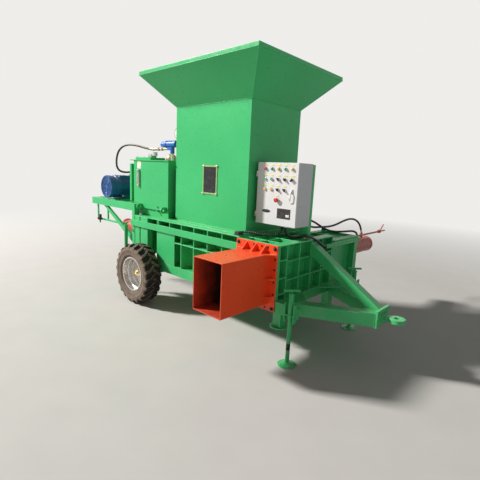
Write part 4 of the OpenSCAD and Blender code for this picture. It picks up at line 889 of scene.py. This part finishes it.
# Its paint carries the pale edge patches all over the thin border, partly as painted highlight.
border_paint = painted_steel("border_enamel", (0.22, 0.44, 0.15), (0.30, 0.40, 0.14), edge=0.3)
dress("window_frame", "window_border", "frame", border_paint, border_paint, 0.0015)
dress("sight_glass", "window_glass", "frame", glass, glass, 0.0008)
screws = [(x, -wall_y - 6, z) for x in (914, 1134) for z in (1487, 1793)]
hex_bolts("window_screws", screws, to_near, 0.014)


# Motor and pump

# A foot-mounted electric motor of cast iron with cooling fins, sprayed blue, its fan
# behind a pressed steel cowl. A cast bell housing joins it to the gear pump.
blue = painted_steel("blue_enamel", (0.020, 0.115, 0.33), (0.012, 0.08, 0.26), dusty=0.3, gloss=0.5)
# The rounded edges take a lighter copy of the blue: a painted highlight.
blue_edge_highlight = painted_steel("blue_enamel_edge_highlight", (0.10, 0.26, 0.62), (0.06, 0.18, 0.5), edge=0.5)
dress("motor", "motor_casing", "frame", blue, blue_edge_highlight, 0.0012)
lid_screws = [(x, y, 1610) for x in (-1112, -960) for y in (-412, -276)]
hex_bolts("motor_lid_screws", lid_screws, up, 0.010)
box_side, gland_end, cable_end = route((-1126, -344, 1574), (-1150, -344, 1574), (-1162, -344, 1574))
gland = [bar(box_side, gland_end, 0.030, 6), bar(gland_end, cable_end, 0.024, 20, 0.018)]
assemble("motor_cable_gland", gland, "frame", hose_rubber, 0.0008)
cast = mottled("cast_iron", (0.07, 0.07, 0.07), 0.5, 0.4, spots=(30, 8), spread=(0.35, 0.7),
               one=(0.045, 0.045, 0.047), two=(0.13, 0.11, 0.09), grain=(160, 4, 0.4, 0.0008))[0]
dress("pump", "pump_casing", "frame", cast, cast, 0.003)
pump_x, pump_z = -1036, 1442
bell_bolts = [(pump_x + over, 66, pump_z + rise) for over, rise in ring(6, 108)]
hex_bolts("pump_bell_bolts", bell_bolts, to_far, 0.014)
end_bolts = [(pump_x + over, 256, pump_z + rise) for over in (-44, 44) for rise in (-58, 58)]
hex_bolts("pump_end_bolts", end_bolts, to_far, 0.014)


# Oil tank's fittings

# A bolted lid, a breather, a level gauge in an aluminium guard and a blank paper
# label stuck on above it. The pipe work and the filler dome are zinc-plated and
# weathered, the valve is cast and enamelled blue.
aluminium, tree, shader, place = mottled(
    "aluminium", (0.62, 0.62, 0.61), 0.38, 0.7, spots=(50, 5), spread=(0.4, 0.7),
    one=(0.66, 0.66, 0.65), two=(0.45, 0.45, 0.43))
vary(tree, shader, place, "Roughness", (200, 3, (1, 1, 0.05)), (0.3, 0.7, 0.28, 0.5))
fittings = dress("tank_fittings", "tank_lid_and_gauge", "frame", green, green_edge_highlight, 0.0015)
tank_y, lid_z, gauge_x, gauge_low, gauge_high = -486, 1880, -342, 1500, 1705
breather_x, breather_y, breather_reach = -240, -298, 50
paint_between(fittings, (gauge_x - 22, tank_y - 26, 1488), (gauge_x + 22, tank_y + 2, 1717), aluminium)
lid_block = (-354, -338, lid_z - 1), (-286, -260, lid_z + 52)
paint_between(fittings, *lid_block, aluminium)
cap_corner = (breather_x - breather_reach, breather_y - breather_reach)
cap_end = (breather_x + breather_reach, breather_y + breather_reach, 1957)
open_faces(fittings, faces_between(fittings, (*cap_corner, lid_z - 2), cap_end))
bpy.ops.transform.resize(value=(0.72, 0.72, 1.0), center_override=at(breather_x, breather_y, 1900))
close_faces()
paint_between(fittings, (*cap_corner, lid_z + 23), cap_end, aluminium)

tube_glass = mottled("gauge_tube", (0.55, 0.45, 0.25), 0.12, 0.0, spots=(24, 3, (0.2, 0.2, 1)),
                     spread=(0.42, 0.55), one=(0.55, 0.50, 0.40), two=(0.30, 0.22, 0.09))[0]
gauge_tube = slab(at(gauge_x - 8, -510, gauge_low + 12), at(gauge_x + 8, -506, gauge_high - 12))
shape_face(gauge_tube, to_near, 0.003, 0.002)
assemble("level_gauge_window", [gauge_tube], "frame", tube_glass, 0.0006)
hex_bolts("level_gauge_bolts", [(gauge_x, -508, z) for z in (gauge_low, gauge_high)], to_near, 0.014)

paper = mottled("blank_paper", (0.78, 0.78, 0.74), 0.6, 0.0, spots=(40, 5), spread=(0.4, 0.75),
                one=(0.80, 0.80, 0.76), two=(0.66, 0.64, 0.56))[0]
yellow_paper = mottled("blank_yellow_paper", (0.82, 0.62, 0.16), 0.5, 0.0, spots=(60, 5),
                       spread=(0.4, 0.75), one=(0.84, 0.66, 0.18), two=(0.70, 0.52, 0.14))[0]
label_rear, label_front, label_y = -378, -290, tank_y - 1.6
for name, low, high, finish in (("tank_label", 1726, 1804, paper),
                                ("tank_label_band", 1805, 1826, yellow_paper)):
    sheet = slab(at(label_rear, label_y, low), at(label_front, tank_y, high))
    assemble(name, [sheet], "frame", finish, 0.0003)
lid_bolts = [(x, y, lid_z) for x in (-506, -343, -180) for y in (-406, -206)]
lid_bolts.remove((-343, -206, lid_z))
hex_bolts("tank_lid_bolts", lid_bolts, up, 0.013)

valve_blue = painted_steel("valve_enamel", (0.016, 0.15, 0.60), (0.012, 0.11, 0.48), dusty=0.15, gloss=0.5)
# The rounded edges take a lighter copy of the valve's blue: a painted highlight.
valve_edge_highlight = painted_steel("valve_enamel_edge_highlight", (0.14, 0.34, 0.75), (0.1, 0.26, 0.6), edge=0.4)
valve_x, valve_y = 30, -210
valve = dress("valve_block", "relief_valve", "frame", valve_blue, valve_edge_highlight, 0.002)
paint_between(valve, (valve_x - 25, valve_y - 25, 1842), (valve_x + 25, valve_y + 25, 1941), zinc)
aged_zinc = mottled("aged_zinc", (0.40, 0.34, 0.23), 0.42, 0.6, spots=(24, 7), spread=(0.3, 0.7),
                    one=(0.46, 0.40, 0.28), two=(0.22, 0.17, 0.11), grain=(220, 3, 0.25, 0.0005))[0]
dress("pipe_fittings", "pipe_work", "frame", aged_zinc, aged_zinc, 0.0015)
valve_top = 2106
hex_bolts("valve_screws", [(x, valve_y, valve_top) for x in (-40, 0, 60, 95)], up, 0.013)
dial_x, dial_y, dial_z = 187, -250, 2195
dial = bar(at(dial_x, dial_y, dial_z), at(dial_x, dial_y - 2, dial_z), 0.112, 40)
assemble("gauge_dial", [shape_face(dial, to_near, 0.003, -0.0006)], "frame", paper, 0.0004)
needle = [bar(at(dial_x, dial_y - 2, dial_z), at(dial_x, dial_y - 6, dial_z), 0.012, 16),
          bar(at(dial_x, dial_y - 4, dial_z), at(dial_x - 29, dial_y - 4, dial_z - 31), 0.004, 8, 0.0015)]
assemble("gauge_needle", needle, "frame", hose_rubber, 0.0004)


# Limit switch

# A black plastic switch under the platform's tail, with a roller on a lever that the
# rail's slider trips, and a gland for its lead below. The cable's box on the deck is
# of the same plastic.
black_plastic = mottled("black_plastic", (0.022, 0.022, 0.023), 0.42, 0.0, spots=(45, 6),
                        spread=(0.45, 0.75), one=(0.016, 0.016, 0.017), two=(0.06, 0.055, 0.05),
                        grain=(500, 2, 0.3, 0.0003))[0]
switch_case = (-1422, -564, 898), (-1358, -517.5, 992)
cable_box = (1568, -572, 1104.5), (1628, -512, 1146)
paint_between(steelwork["limit_rail"], *switch_case, black_plastic)
paint_between(steelwork["chamber_deck"], *cable_box, black_plastic)
pivot_x, pivot_z, roller_x, roller_z = -1390, 925, -1326, 978
gland_y, gland_top, gland_nut, gland_foot = -533, (-1390, 900), (-1384, 874), (-1380, 856)
lever = [bar(at(pivot_x, -560, pivot_z), at(pivot_x, -570, pivot_z), 0.030, 20),
         bar(at(pivot_x, -567, pivot_z), at(roller_x, -567, roller_z), 0.011, 12),
         bar(at(roller_x, -574, roller_z), at(roller_x, -560, roller_z), 0.026, 20)]
top, nut, foot = [at(x, gland_y, z) for x, z in (gland_top, gland_nut, gland_foot)]
lever += [bar(top, nut, 0.022, 6), bar(nut, foot, 0.016, 16, 0.011)]
assemble("limit_switch_lever", lever, "frame", black_plastic, 0.001)


# Control cabinet

# A folded steel box with a hinged door, powder-coated pale grey, against a green
# angle. Behind the door switchgear stands in two rows between wire ducts, on a
# zinc-plated plate. The solid's plain handle comes off the door for a bent one.
pale_dust = (0.55, 0.53, 0.48)
grey = painted_steel("grey_powder_coat", (0.72, 0.73, 0.73), (0.68, 0.69, 0.70), pale_dust, 0.12, gloss=0.4)
# The rounded edges take a lighter copy of the grey: a painted highlight.
grey_edge_highlight = painted_steel("grey_powder_coat_edge_highlight", (0.76, 0.77, 0.77), (0.72, 0.73, 0.74), pale_dust, 0.1)
# The body and the wire ducts take a darker, bluer copy of the door's grey: painted shade of the cabinet's
# shaded sides and inside.
shaded_grey_copy = painted_steel("grey_powder_coat_painted_shade", (0.56, 0.58, 0.60), (0.52, 0.54, 0.57),
                          (0.5, 0.48, 0.44), 0.15)
cabinet = dress("cabinet", "cabinet_body", "frame", shaded_grey_copy, grey_edge_highlight, 0.0012)
glands = (1840, -260, 1205), (2000, -170, 1232.5)
back_plate = (1680, -92, 1270), (2104, -84, 1815)
paint_between(cabinet, *glands, black_plastic)
paint_between(cabinet, *back_plate, zinc)
door = dress("cabinet_door", "cabinet_door_leaf", "control_door", grey, grey_edge_highlight, 0.0015)
plain_handle = (2081, -358, 1380), (2103, -330.5, 1506)
open_faces(door, faces_between(door, *plain_handle))
bpy.ops.mesh.delete(type="FACE")
bpy.ops.mesh.select_all(action="SELECT")
bpy.ops.mesh.fill_holes(sides=0)
bpy.ops.mesh.normals_make_consistent(inside=False)
bpy.ops.object.mode_set(mode="OBJECT")

angle_low, angle_high, angle_near = 1092, 1846, -84
upstand = [slab(at(2134, angle_near, angle_low), at(2139, -30, angle_high)),
           slab(at(2096, angle_near, angle_low), at(2134, angle_near + 5, angle_high))]
upstand += [slab(at(2080, -72, z), at(2134, -52, z + 20)) for z in (1130, 1560)]
upstand.append(shape_face(slab(at(2090, -92, angle_low), at(2150, -22, angle_low + 8)), up, 0.004, 0.001))
assemble("green_cabinet_upstand", upstand, "frame", green, 0.001)

ducts, gear, levers = [], [], []
plate_y, ducts_rear, ducts_front, row_start = -92, 1700, 2084, 1706
for z in (1310, 1540, 1770):
    ducts.append(slab(at(ducts_rear, plate_y - 33, z - 18), at(ducts_front, plate_y, z + 18)))
    ducts.append(slab(at(ducts_rear, plate_y - 36, z - 14), at(ducts_front, plate_y - 33, z + 14)))
for z, widths in ((1655, (45, 45, 45, 54, 54, 72)), (1425, (72, 72, 54, 36, 36, 36, 36))):
    x = row_start
    for width in widths:
        case = slab(at(x, plate_y - 58, z - 42), at(x + width - 2, plate_y, z + 42))
        nose = slab(at(x + 6, plate_y - 70, z - 20), at(x + width - 8, plate_y - 64, z + 20))
        gear += [shape_face(case, to_near, 0.006, 0.006), shape_face(nose, to_near, 0.003, 0.004)]
        toggle_x = x + width / 2
        levers.append(slab(at(toggle_x - 6, plate_y - 80, z - 2), at(toggle_x + 4, plate_y - 74, z + 14)))
        x += width
assemble("cabinet_wire_ducts", ducts, "frame", shaded_grey_copy, 0.001)
assemble("cabinet_switchgear", gear, "frame", black_plastic, 0.001)
assemble("cabinet_breaker_levers", levers, "frame", aluminium, 0.0008)


# Door controls

# Lamps, push buttons and key switches of moulded plastic in chromed bezels, an
# emergency stop, blank name strips above them, two blank plates and a swing handle
# bent from rod. All of them are fixed to the door's leaf.
def plastic(name, colour, rough=0.25):
    """Moulded plastic with faint flow marks and a little dust."""
    dull = tuple(0.75 * c + 0.02 for c in colour)
    return mottled(name, colour, rough, 0.0, spots=(70, 5), spread=(0.4, 0.75), one=colour, two=dull,
                   grain=(400, 2, 0.2, 0.0003))[0]


door_y = -331


def on_door(x, z, back, front, diameter, thin=None, sides=28):
    """A round part that stands on the door's leaf, from back to front millimetres off it."""
    return bar(at(x, door_y - back, z), at(x, door_y - front, z), diameter, sides, thin)


def plate_on_door(x, z, half_width, half_height, front, back=0.0):
    """A flat part on the door's leaf, by its middle, from back to front millimetres off it."""
    return slab(at(x - half_width, door_y - front, z - half_height),
                at(x + half_width, door_y - back, z + half_height))


def control_on_door(name, parts, finish, round_over):
    """The parts joined into one piece that moves with the door."""
    return assemble(name, parts, "control_door", finish, round_over)


first_x, step_x, grip_y = 1748, 82, door_y - 19
row_z = {"lamps": 1791, "buttons": 1689, "switches": 1588}
tints = {"red": plastic("red_plastic", (0.55, 0.035, 0.03)),
         "green": plastic("green_plastic", (0.02, 0.42, 0.20)),
         "yellow": plastic("yellow_plastic", (0.80, 0.48, 0.05)), "black": black_plastic}
layout = {"lamps": ("red", "green", "yellow", "green", "yellow"),
          "buttons": ("green", "green", "black", "black", "black"),
          "switches": ("yellow", "yellow", "black", "black")}
grip_turns = (-40, 35, -40)
bezels, strips = [], []
heads = {tint: [] for tint in tints}
for row, colours in layout.items():
    z = row_z[row]
    for count, tint in enumerate(colours):
        x = first_x + step_x * count
        bezels.append(on_door(x, z, 0, 5, 0.038, 0.034))
        if row == "lamps":
            dome = shape_face(on_door(x, z, 5, 15, 0.031, 0.029), to_near, 0.004, 0.004)
            heads[tint].append(shape_face(dome, to_near, 0.005, 0.002))
        elif tint == "black":
            bezels.append(on_door(x, z, 5, 10, 0.032, 0.030))
            heads[tint].append(on_door(x, z, 10, 13, 0.030, 0.028))
            grip = slab((-0.006, -0.006, -0.016), (0.006, 0.006, 0.016))
            grip = shape_face(grip, to_near, 0.0015, 0.001)
            grip.rotation_euler = (0, math.radians(grip_turns[count % 3]), 0)
            grip.location = at(x, grip_y, z)
            heads[tint].append(grip)
        else:
            bezels.append(on_door(x, z, 5, 12, 0.033, 0.031))
            heads[tint].append(shape_face(on_door(x, z, 10, 15, 0.026), to_near, 0.004, -0.001))
        wide = 33 if (row, count) == ("buttons", 4) else 20
        strips.append(plate_on_door(x, z + 35, wide, 6, 1.2))
stop_x, stop_z = 1911, 1487
strips.append(plate_on_door(stop_x, stop_z + 40, 20, 6, 1.2))
bezels.append(on_door(stop_x, stop_z, 0, 6, 0.044, 0.038))
heads["red"].append(on_door(stop_x, stop_z, 6, 18, 0.026))
heads["red"].append(shape_face(on_door(stop_x, stop_z, 18, 27, 0.046, 0.050), to_near, 0.008, 0.003))
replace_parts(control_on_door("control_bezels", bezels, chrome, 0.0008), "door_buttons")
for tint, parts in heads.items():
    control_on_door("controls_" + tint, parts, tints[tint], 0.0009)
strip_yellow = plastic("blank_strip_yellow", (0.80, 0.72, 0.12), 0.5)
control_on_door("blank_name_strips", strips, strip_yellow, 0.0003)
rating_plate = shape_face(plate_on_door(1999, 1356, 81, 50, 1.5), to_near, 0.005, -0.0006)
control_on_door("blank_rating_plate", [rating_plate], black_plastic, 0.0004)
plate_field = plate_on_door(2046, 1338, 20, 12, 1.6, 0.6)
control_on_door("blank_plate_field", [plate_field], paper, 0.0002)
oval = on_door(1779, 1366, 0, 1.5, 0.034, sides=48)
oval.scale = (3.2, 1, 1)
control_on_door("blank_oval_plate", [oval], black_plastic, 0.0004)

handle = new_curve("door_swing_handle", 0.009, caps=True)
smooth_line(handle, route((2080, -339, 1582), (2081, -350, 1560), (2081, -351, 1520), (2079, -350, 1496),
                          (2068, -347, 1480), (2056, -345, 1484)))
control_on_door("door_swing_handle", [as_mesh("door_swing_handle", handle)], grey, 0.0)
base = [shape_face(plate_on_door(2081, 1580, 11, 20, 8), to_near, 0.003, 0.003),
        shape_face(on_door(2052, 1506, 0, 8, 0.016, sides=20), to_near, 0.003, 0.001)]
control_on_door("door_handle_base", base, grey, 0.0008)


# Jacks

# Screw jacks with a cross handle on top of each tube and a riveted round foot. The
# near front one's handle stands square to the camera, and its leg has a band of
# bare, blackened steel.
jack_places = {"front_near": (2360, -620), "front_far": (2360, 620),
               "rear_near": (-483, -610), "rear_far": (-483, 610)}
band_x, band_y = jack_places["front_near"]
jacks = steelwork["jack_tubes"]
open_faces(jacks, faces_between(jacks, (band_x - 90, band_y - 80, 705), (band_x + 90, band_y + 80, 735)))
bpy.ops.transform.rotate(value=math.radians(90), orient_axis="Z", center_override=at(band_x, band_y, 720))
close_faces()
burnt = mottled("blackened_steel", (0.02, 0.02, 0.02), 0.5, 0.6, spots=(60, 6), spread=(0.45, 0.7),
                one=(0.014, 0.014, 0.014), two=(0.07, 0.05, 0.035))[0]
band = [bar(at(band_x, band_y, low), at(band_x, band_y, high), diameter, 32)
        for low, high, diameter in ((150, 215, 0.0386), (154, 158, 0.0400), (207, 211, 0.0400))]
assemble("jack_leg_band", band, "jack_leg_front_near", burnt, 0.0005)
# The feet's rivets are in the lighter copy of the green, a painted highlight.
for corner, (x, y) in jack_places.items():
    rivets = [(x + over, y + along, 8) for over, along in ring(4, 62, 45)]
    hex_bolts("jack_foot_rivets_" + corner, rivets, up, 0.010, "jack_leg_" + corner, green_edge_highlight)
